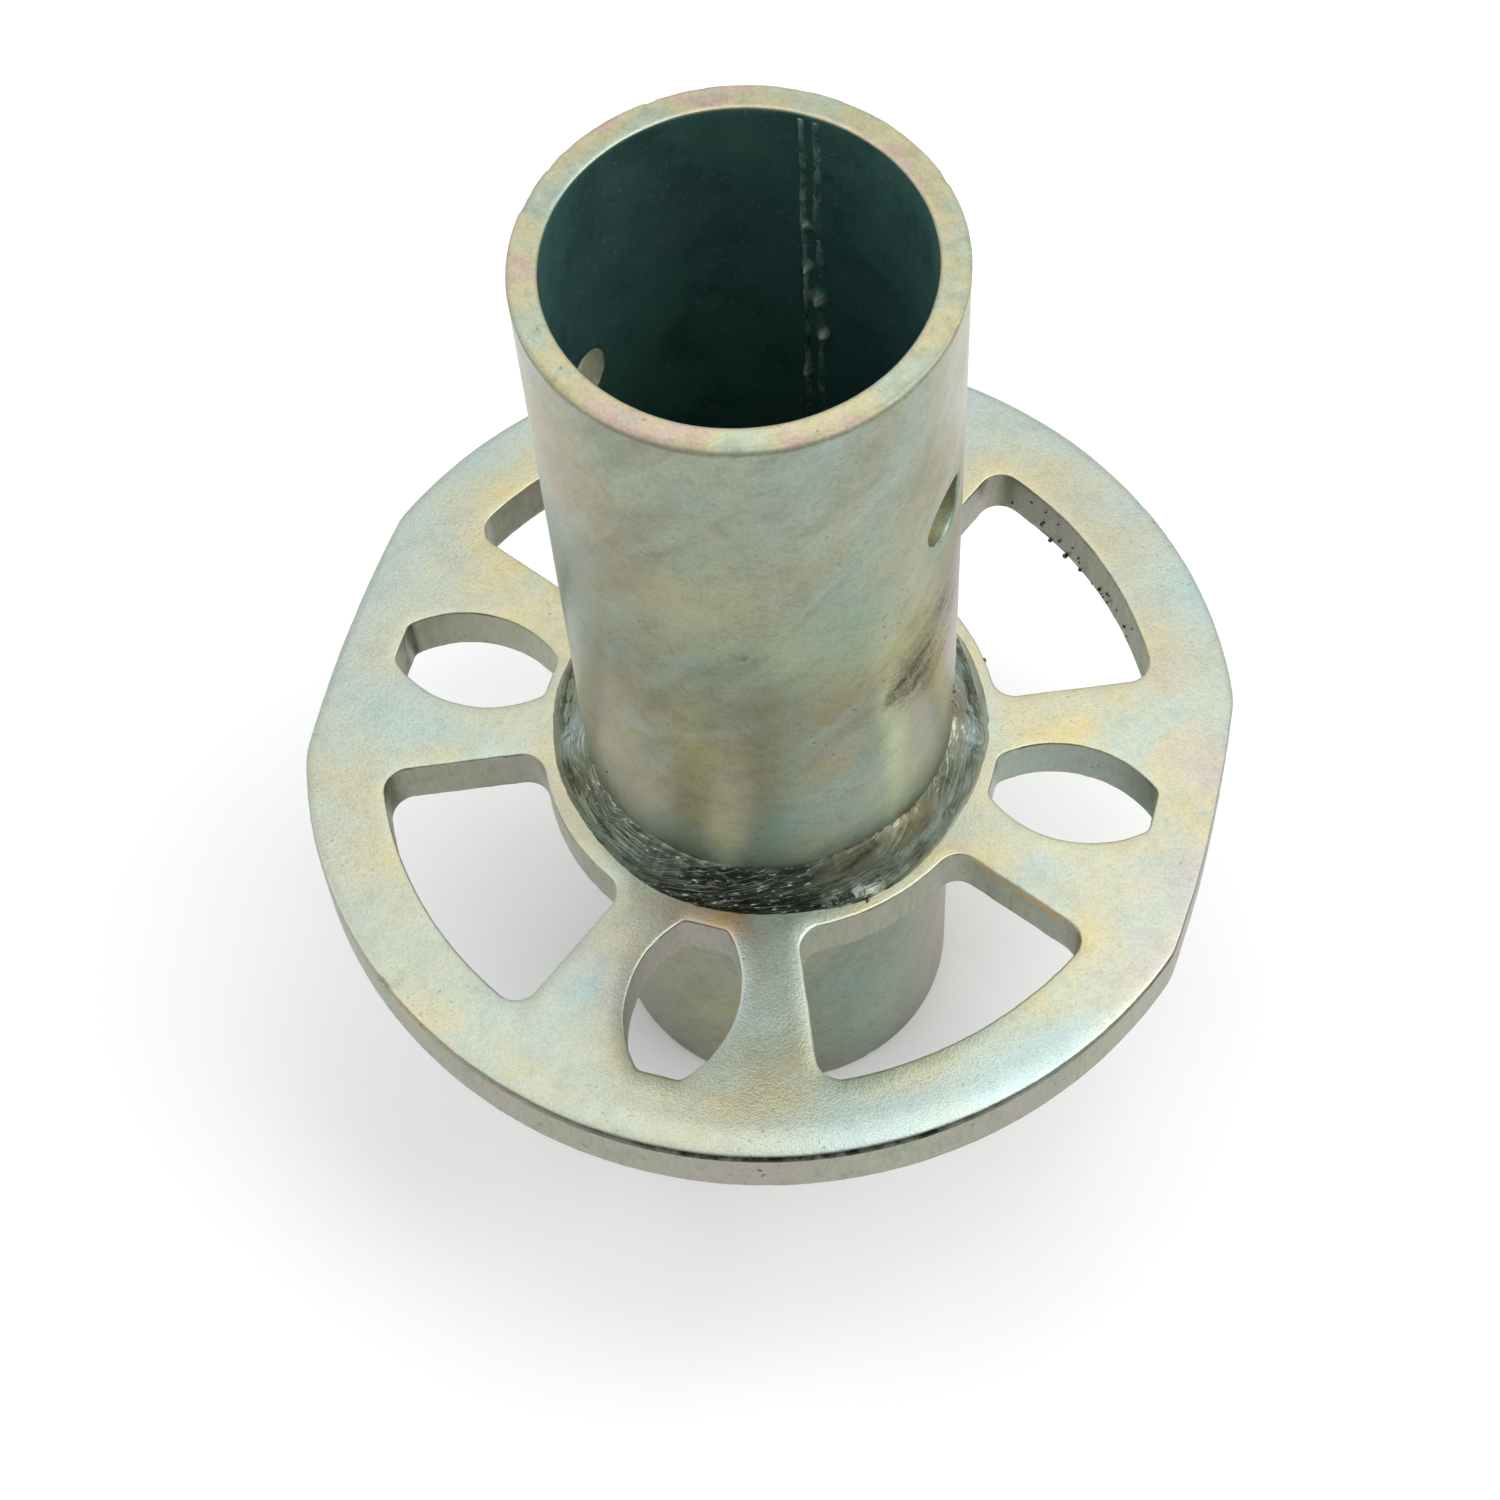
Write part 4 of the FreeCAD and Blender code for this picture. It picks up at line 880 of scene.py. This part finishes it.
def seam():
    """The inner flash of the tube's own lengthwise weld: two ragged ridges with drips, sunk a little into the bore wall."""
    s = Shell()
    z = np.linspace(0.6, 157.2, 520)
    across = np.array([-1.7, -1.45, -1.2, -1.0, -0.8, -0.55, -0.2, 0.15, 0.45, 0.7, 0.95, 1.2, 1.5, 1.9])
    Zg, A = np.meshgrid(z, across, indexing="ij")
    side = A + 0.30 * fbm(Zg / 7.0, 0 * A, 2.0, 111, 3)
    left = (0.34 + 0.22 * fbm(Zg / 5.0, 0.0 * A, 0.0, 113, 3)) * np.exp(-((A + 1.0) / 0.24) ** 2)
    right = (0.34 + 0.40 * fbm(Zg / 3.2, 0.0 * A, 7.0, 115, 4)) * np.exp(-((A - 0.7) / 0.36) ** 2)
    tall = np.maximum(left, right) + 0.07 * fbm(Zg / 0.9, A / 0.7, 0.0, 117, 3) - 0.03
    shine = 0.45 * np.exp(-((A + 1.15) / 0.25) ** 2) * smooth(0.0, 0.4, fbm(Zg / 6.0, 0 * A, 4.0, 121, 3) + 0.15)
    for la, lz, lw, lh in [(87.0, 132.7, 1.0, 0.9), (82.6, 127.3, 1.5, 1.0), (81.2, 121.0, 1.3, 0.9), (88.0, 112.7, 1.1, 0.8), (86.5, 140.0, 0.9, 0.5),
                           (83.0, 103.0, 1.2, 0.7), (86.0, 90.0, 1.3, 0.6), (82.0, 74.0, 1.2, 0.7), (86.5, 40.0, 1.4, 0.7), (82.5, 22.0, 1.2, 0.6)]:
        pos = math.radians(84.6 - la) * BORE_R
        lump = np.exp(-((A - pos) / (0.6 * lw)) ** 2 - ((Zg - lz) / (0.8 * lw)) ** 2)
        shine = np.maximum(shine, lump ** 2)
        tall = tall + lh * lump * (1 + 0.3 * noise(Zg / 0.5, A / 0.5, 0, 119))
    tall = np.maximum(tall, 0.0)
    tall[:, 0] = tall[:, -1] = -0.25
    ang = math.radians(84.6) - side / BORE_R
    r = BORE_R + 0.10 - tall
    P = np.stack([r * np.cos(ang), r * np.sin(ang), Zg], -1)
    front = s.add(P.reshape(-1, 3), cream=np.clip(shine, 0, 1).reshape(-1)).reshape(P.shape[:2])
    back_r = BORE_R + 0.6
    B = np.stack([back_r * np.cos(ang[:, [0, -1]]), back_r * np.sin(ang[:, [0, -1]]), Zg[:, [0, -1]]], -1)
    back = s.add(B.reshape(-1, 3)).reshape(B.shape[:2])
    loop = np.c_[front, back[:, ::-1]]
    s.grid(loop.copy())
    s.faces.append(tuple(loop[0][::-1].tolist()))
    s.faces.append(tuple(loop[-1].tolist()))
    ob = s.make("tube_inner_seam", SEAM, None, 55)
    fix_normals(ob)
    return ob


def fix_normals(ob):
    bm = bmesh.new()
    bm.from_mesh(ob.data)
    bmesh.ops.recalc_face_normals(bm, faces=bm.faces)
    bm.to_mesh(ob.data)
    bm.free()


# ---------------------------------------------------------------- welds

def bead(name, node, upper):
    s = Shell()
    n, m = (1080, 40) if upper else (720, 26)
    theta = 2 * np.pi * np.arange(n) / n
    seed = 201 if upper else 241
    low, mid = around(theta, 1.6, 0, seed, 3), around(theta, 6.0, 0, seed + 3, 3)
    fine = around(theta, 30.0, 0, seed + 7, 3)
    if upper:
        # the pass is uneven: it climbs the tube at the front right and spreads on the disc there and at the right
        deg = np.degrees(theta) % 360
        high = np.interp(deg, [0, 20, 60, 110, 160, 200, 230, 243, 257, 265, 281, 300, 316, 330, 345], [5.2, 5.5, 5.2, 5.9, 5.4, 5.0, 5.2, 5.6, 5.4, 5.3, 6.0, 6.2, 7.0, 6.0, 5.2], period=360)
        toe = np.interp(deg, [2, 16, 40, 90, 140, 187, 199, 215, 229, 242, 256, 267, 281, 294, 307, 318, 332, 346],
                        [28.6, 28.9, 28.7, 28.3, 28.5, 28.9, 28.6, 28.2, 27.8, 28.0, 28.2, 28.0, 27.8, 27.9, 28.6, 28.8, 28.5, 28.3], period=360)
        high, toe = high + 0.25 * mid + 0.10 * fine, toe + 0.14 * mid + 0.08 * fine
    else:
        high = 4.7 + 0.6 * low + 0.35 * mid + 0.10 * fine
        toe = 28.45 + 0.30 * around(theta, 2.2, 5, seed + 11, 3) + 0.22 * mid + 0.07 * fine
    sag = 0.50 + 0.22 * around(theta, 2.4, 9, seed + 13, 3)
    lap = np.exp(-(turn(theta, 8.0) / 5.0) ** 2) if upper else np.exp(-(turn(theta, 200.0) / 6.0) ** 2)
    high = high + 0.3 * lap
    sag = sag + 0.30 * lap
    t = np.linspace(0, 1, m)
    TH, TT = np.meshgrid(theta, t, indexing="ij")
    H, R, S, L = (q[:, None] for q in (high, toe, sag, lap))
    dr, dz = TUBE_R - 0.12 - R, H
    length = np.hypot(dr, dz)
    nr, nz = dz / length, -dr / length
    bulge = 4 * TT * (1 - TT)
    belly = S * bulge
    # ripples of the pass, swirling brush marks, scattered lumps
    arc = TH * 26.3
    closed = lambda k, other, sd, o=3: fbm(np.cos(TH) * k, np.sin(TH) * k, other, sd, o)
    warp = 0.9 * closed(5.0, TT * 1.4, seed + 21)
    swirl = closed(9.0, TT * 4.0 + warp * 1.2, seed + 23, 4)
    broad = closed(4.0, TT * 1.7, seed + 25)
    ripple = np.sin((arc / (1.5 if upper else 1.3) + 2.5 * (TT - 0.5) ** 2 + 0.8 * closed(4.0, TT, seed + 31)) * 2 * np.pi)
    ends = smooth(0.0, 0.10, TT) * smooth(0.0, 0.10, 1 - TT)
    shape = belly + ends * (0.22 * broad + 0.09 * swirl + (0.006 if upper else 0.07) * ripple)
    masks = {}
    if upper:
        for a, tt, wa, wt, hh in [(-52, 0.16, 2.2, 0.10, 0.42), (-47.5, 0.12, 1.6, 0.08, 0.36), (-56, 0.10, 1.8, 0.07, 0.25), (-44, 0.22, 1.2, 0.07, 0.25),
                                  (-91, 0.62, 1.1, 0.07, -0.45), (-74, 0.86, 3.0, 0.06, 0.18), (8.0, 0.30, 4.5, 0.22, 0.30), (13.5, 0.25, 1.0, 0.3, -0.22),
                                  (2.5, 0.35, 0.9, 0.3, -0.20), (-63, 0.20, 2.4, 0.08, 0.22), (120, 0.3, 3.0, 0.2, 0.25), (200, 0.5, 6.0, 0.3, 0.15)]:
            shape = shape + hh * np.exp(-(turn(TH, a) / wa) ** 2 - ((TT - tt) / wt) ** 2) * (1 + 0.4 * noise(arc / 0.7, TT * 9, 0, seed + 41))
        rings = np.sin(np.hypot(turn(TH, 8.0) / 3.0, (TT - 0.45) * 4.0) * 2 * np.pi * 1.1)
        shape = shape + 0.05 * L * ends * rings
        # a smooth shelf at the front right, over the brushed part
        shelf = smooth(-66, -54, turn(TH, 0)) * smooth(-14, -28, turn(TH, 0))
        shape = shape + shelf * ends * (0.12 * np.exp(-((TT - 0.75) / 0.20) ** 2) - 0.08 * np.exp(-((TT - 0.48) / 0.08) ** 2))
        # painted dark reflection and shade: the bead is darkened on its front, which faces the camera, with a black
        # band along the toe there; swirl marks and the inner half at the left and at the right are darker too
        front = np.exp(-np.abs(turn(TH, -83) / 27.0) ** 3)
        black = np.exp(-np.abs(turn(TH, -78) / 24.0) ** 3) * np.exp(-((TT - 0.10) / 0.16) ** 2)
        masks["dark"] = np.clip((front * 0.92 + black) * (1 - 0.85 * shelf * smooth(0.42, 0.60, TT)) * smooth(1.03, 0.86, TT)
                                + 0.35 * smooth(0.25, 0.6, swirl) * (0.3 + front)
                                + smooth(0.42, 0.75, TT) * (0.60 * np.exp(-(turn(TH, -135) / 26.0) ** 2) + 0.40 * np.exp(-(turn(TH, -8) / 16.0) ** 2)), 0, 1)
        at = lambda c, w: np.exp(-(turn(TH, c) / w) ** 2)
        masks["blue"] = np.clip(0.95 * at(7, 8) * smooth(0.95, 0.5, TT) + 0.85 * at(-158, 7) * smooth(0.1, 0.4, TT) + 0.45 * at(-24, 12) * smooth(0.7, 0.3, TT)
                                + 0.35 * at(-125, 16) * smooth(0.6, 0.2, TT) + 0.45 * at(28, 10) + 0.4 * at(120, 25) + 0.4 * at(75, 14), 0, 1)
        masks["cream"] = np.clip(0.8 * shelf * smooth(0.45, 0.7, TT) + 0.45 * at(-140, 14) * smooth(0.35, 0.7, TT) + 0.4 * at(95, 18), 0, 1)
        # pale toe colour; the term at -50 degrees is a painted glint on the toe lumps
        masks["lilac"] = np.clip(0.75 * np.exp(-((TT - 0.06) / 0.07) ** 2) * (at(-22, 24) + 0.5 * at(90, 60)) + 0.9 * np.exp(-((TT - 0.14) / 0.20) ** 2) * at(14, 26)
                                 + 0.7 * np.exp(-((TT - 0.12) / 0.16) ** 2) * at(-170, 24) + 1.0 * smooth(0.1, 0.4, swirl + 0.15) * at(-50, 6) * smooth(0.34, 0.12, TT), 0, 1)
        # painted highlight: a bright, ragged glint patch on the bead's toe, which also feeds the painted glints
        masks["pale"] = np.clip(1.15 * at(-50.5, 7.5) * smooth(0.42, 0.16, TT) * smooth(-0.02, 0.24, closed(30.0, TT * 6.0, seed + 61)), 0, 1)
        brown = smooth(-0.1, 0.35, around(TH, 24.0, 3, seed + 51, 3))
        masks["gold"] = np.clip(at(-91, 1.0) * np.exp(-((TT - 0.62) / 0.07) ** 2)
                                + 0.85 * brown * np.exp(-((TT - 0.975) / 0.016) ** 2) * (shelf + 0.4 * at(-100, 20)), 0, 1)
    else:
        masks["blue"] = np.clip(0.35 + 0.4 * swirl, 0, 1)
        masks["cream"] = np.clip(0.25 - 0.4 * swirl, 0, 1)
    rad = R + dr * TT + nr * shape
    up = H * TT + nz * shape
    rad = np.maximum(rad, TUBE_R - 0.12)
    up = np.maximum(up, -0.08)
    up[:, 0] = -0.10
    rad[:, -1] = TUBE_R - 0.14
    zz = DISC_Z1 - 0.03 + up if upper else DISC_Z0 - up
    P = np.stack([rad * np.cos(TH), rad * np.sin(TH), zz], -1)
    face = s.add(P.reshape(-1, 3), **{k: v.reshape(-1) for k, v in masks.items()}).reshape(n, m)
    # closing faces against the tube and the disc
    zc = DISC_Z1 - 0.4 if upper else DISC_Z0 + 0.4
    foot = s.add(np.c_[toe * np.cos(theta), toe * np.sin(theta), np.full(n, zc)])
    heel = s.add(np.c_[(TUBE_R - 0.14) * np.cos(theta), (TUBE_R - 0.14) * np.sin(theta), np.full(n, zc)])
    loop = np.c_[face, heel, foot]
    nxt = np.roll(loop, -1, 0)
    q = np.stack([loop, nxt, np.roll(nxt, -1, 1), np.roll(loop, -1, 1)], -1).reshape(-1, 4)
    s.faces.extend(map(tuple, q.tolist()))
    ob = s.make(name, WELD, node, 60)
    fix_normals(ob)
    return ob


# ---------------------------------------------------------------- spatter

def spatter():
    """Small beads of weld metal stuck to the window wall, the web and the tube's foot."""
    s = Shell()
    rng = np.random.default_rng(77)
    spots = [(28.6, 42.4, 54.25, 0.34), (31.2, 40.4, 54.2, 0.38), (33.7, 38.6, 54.3, 0.30), (35.8, 36.9, 54.3, 0.28), (25.0, 16.8, 61.5, 0.36),
             (30.0, 41.4, 56.0, 0.20), (33.2, 38.9, 56.6, 0.19), (27.0, 43.4, 56.2, 0.22), (36.9, 35.3, 55.6, 0.20), (38.5, 33.4, 55.8, 0.20)]
    for a, z, r in [(5.5, 77.0, 0.30), (5.0, 78.6, 0.20), (3.0, 76.2, 0.16), (62.0, 70.5, 0.30), (140.0, 71.0, 0.26), (-131.0, 74.0, 0.16)]:
        t = math.radians(a)
        spots.append((24.15 * math.cos(t), 24.15 * math.sin(t), z, r))
    for a, r, k in [(-49.0, 28.9, 0.24), (100.0, 29.6, 0.28), (155.0, 30.0, 0.22)]:
        t = math.radians(a)
        spots.append((r * math.cos(t), r * math.sin(t), 62.0, k))
    for a, z, r in zip(rng.uniform(30, 65, 18), rng.uniform(54.8, 60.4, 18), rng.uniform(0.17, 0.25, 18)):
        t = math.radians(a)
        spots.append((51.26 * math.cos(t), 51.26 * math.sin(t), z, r))
    ball = bmesh.new()
    bmesh.ops.create_icosphere(ball, subdivisions=3, radius=1.0)
    unit = np.array([v.co[:] for v in ball.verts])
    tris = np.array([[v.index for v in f.verts] for f in ball.faces])
    ball.free()
    for k, (x, y, z, r) in enumerate(spots):
        stretch = rng.uniform(0.8, 1.15, 3)
        lump = 1 + 0.22 * fbm(unit[:, 0] * 1.3 + k, unit[:, 1] * 1.3, unit[:, 2] * 1.3, 301, 3)
        ids = s.add(np.array([x, y, z]) + unit * stretch * r * lump[:, None])
        s.tris(ids[tris])
    return s.make("weld_spatter_beads", SPATTER, None)


rosette()
tube()
seam()
bead("upper_weld_skin", "upper_weld", True)
bead("lower_weld_skin", "lower_weld", False)
spatter()


# ---------------------------------------------------------------- stage, light, camera

def floor():
    mesh = bpy.data.meshes.new("floor")
    k = 40.0
    n = 24
    xs = np.linspace(-k, k, n + 1)
    X, Y = np.meshgrid(xs, xs)
    ids = np.arange((n + 1) ** 2).reshape(n + 1, n + 1)
    quads = np.stack([ids[:-1, :-1], ids[:-1, 1:], ids[1:, 1:], ids[1:, :-1]], -1).reshape(-1, 4)
    mesh.from_pydata(np.c_[X.ravel(), Y.ravel(), np.full(X.size, -0.00005)].tolist(), [], quads.tolist())
    ob = bpy.data.objects.new("floor", mesh)
    bpy.context.scene.collection.objects.link(ob)
    p = Paint("floor_pale")
    p.tree.nodes.remove(p.bsdf)
    matt = p.tree.nodes.new("ShaderNodeBsdfDiffuse")
    p.put(matt.inputs["Color"], p.ramp(p.noise(7, 1.0), [(0.3, (0.945, 0.945, 0.945)), (0.7, (0.965, 0.965, 0.965))]))
    p.tree.links.new(matt.outputs["BSDF"], p.out.inputs["Surface"])
    mesh.materials.append(p.mat)


def world():
    """A pale room that is darker towards the camera's side, as the real one was."""
    w = bpy.data.worlds.new("studio")
    bpy.context.scene.world = w
    w.use_nodes = True
    t = w.node_tree
    t.nodes.clear()
    out = t.nodes.new("ShaderNodeOutputWorld")
    bg = t.nodes.new("ShaderNodeBackground")
    co = t.nodes.new("ShaderNodeTexCoord")
    sep = t.nodes.new("ShaderNodeSeparateXYZ")
    t.links.new(co.outputs["Generated"], sep.inputs[0])
    dot = t.nodes.new("ShaderNodeVectorMath")
    dot.operation = "DOT_PRODUCT"
    dot.inputs[1].default_value = (0.326, -0.946, 0.0)
    t.links.new(co.outputs["Generated"], dot.inputs[0])

    def ramp(value, stops):
        half = t.nodes.new("ShaderNodeMapRange")
        half.inputs["From Min"].default_value = -1.0
        t.links.new(value, half.inputs["Value"])
        r = t.nodes.new("ShaderNodeValToRGB")
        r.color_ramp.interpolation = "EASE"
        e = r.color_ramp.elements
        while len(e) < len(stops):
            e.new(0.5)
        for k, (at, c) in enumerate(stops):
            e[k].position, e[k].color = (at + 1) / 2, (*c, 1)
        t.links.new(half.outputs["Result"], r.inputs["Fac"])
        return r.outputs["Color"]

    rise = ramp(sep.outputs["Z"], [(-0.05, (1.0, 1.0, 1.0)), (0.35, (1.0, 1.0, 1.0)), (0.75, (0.88, 0.89, 0.90)), (1.0, (0.92, 0.93, 0.94))])
    side = ramp(dot.outputs["Value"], [(-1.0, (1.0, 1.0, 1.0)), (0.05, (0.95, 0.95, 0.95)), (0.45, (0.56, 0.57, 0.58)), (0.80, (0.24, 0.25, 0.26)), (1.0, (0.16, 0.17, 0.18))])
    # the dark part of the room ends well below the ceiling, and stands on a thin pale band at the floor's far edge
    high = ramp(sep.outputs["Z"], [(0.018, (1.0, 1.0, 1.0)), (0.045, (0.0, 0.0, 0.0)), (0.50, (0.0, 0.0, 0.0)), (0.88, (0.80, 0.80, 0.80))])
    lift = t.nodes.new("ShaderNodeMix")
    lift.data_type = "RGBA"
    t.links.new(high, lift.inputs[0])
    t.links.new(side, lift.inputs[6])
    lift.inputs[7].default_value = (0.95, 0.95, 0.95, 1.0)
    mul = t.nodes.new("ShaderNodeMix")
    mul.data_type, mul.blend_type = "RGBA", "MULTIPLY"
    mul.inputs[0].default_value = 1.0
    t.links.new(rise, mul.inputs[6])
    t.links.new(lift.outputs[2], mul.inputs[7])
    t.links.new(mul.outputs[2], bg.inputs["Color"])
    bg.inputs["Strength"].default_value = 1.10
    t.links.new(bg.outputs[0], out.inputs["Surface"])


def softbox(name, at, aim, size, watts, colour=(1, 1, 1)):
    light = bpy.data.lights.new(name, "AREA")
    light.shape = "RECTANGLE"
    light.size, light.size_y = size
    light.energy = watts
    light.color = colour
    ob = bpy.data.objects.new(name, light)
    ob.location = at
    ob.rotation_euler = (Vector(aim) - Vector(at)).to_track_quat("-Z", "Y").to_euler()
    bpy.context.scene.collection.objects.link(ob)


def camera():
    data = bpy.data.cameras.new("photo_view")
    data.sensor_fit = "HORIZONTAL"
    data.sensor_width = 36.0
    data.lens = 70.0057
    data.clip_start, data.clip_end = 0.01, 50.0
    ob = bpy.data.objects.new("photo_view", data)
    rot = Matrix(((0.962236, -0.216524, 0.164981), (0.269378, 0.844682, -0.462545), (-0.039204, 0.489519, 0.871111)))
    ob.matrix_world = Matrix.Translation((0.061716, -0.181363, 0.395369)) @ rot.to_4x4()
    bpy.context.scene.collection.objects.link(ob)
    bpy.context.scene.camera = ob


floor()
world()


def ring_box(name, azimuth, height, far, size, glow, colour):
    """A softbox on the sphere round the part, by its angle about Z and above the floor; glow is what a mirror there would show."""
    a, e = math.radians(azimuth), math.radians(height)
    at = (far * math.cos(e) * math.cos(a), far * math.cos(e) * math.sin(a), 0.06 + far * math.sin(e))
    softbox(name, at, (0, 0, 0.06), size, math.pi * size[0] * size[1] * glow, colour)


# The camera looks from -71 degrees, so the main softbox stands at 109, high up.
ring_box("softbox_back", 96, 72, 1.15, (0.75, 0.75), 0.95, (1.0, 0.995, 0.98))
ring_box("softbox_left", 192, 56, 1.15, (0.65, 0.6), 0.90, (0.98, 0.99, 1.0))
ring_box("softbox_right", 9, 54, 1.15, (0.80, 0.65), 2.45, (1.0, 0.995, 0.98))
ring_box("softbox_top", 8, 79, 1.15, (0.34, 0.30), 1.8, (1.0, 1.0, 1.0))
camera()
bpy.context.scene.view_settings.view_transform = "Standard"
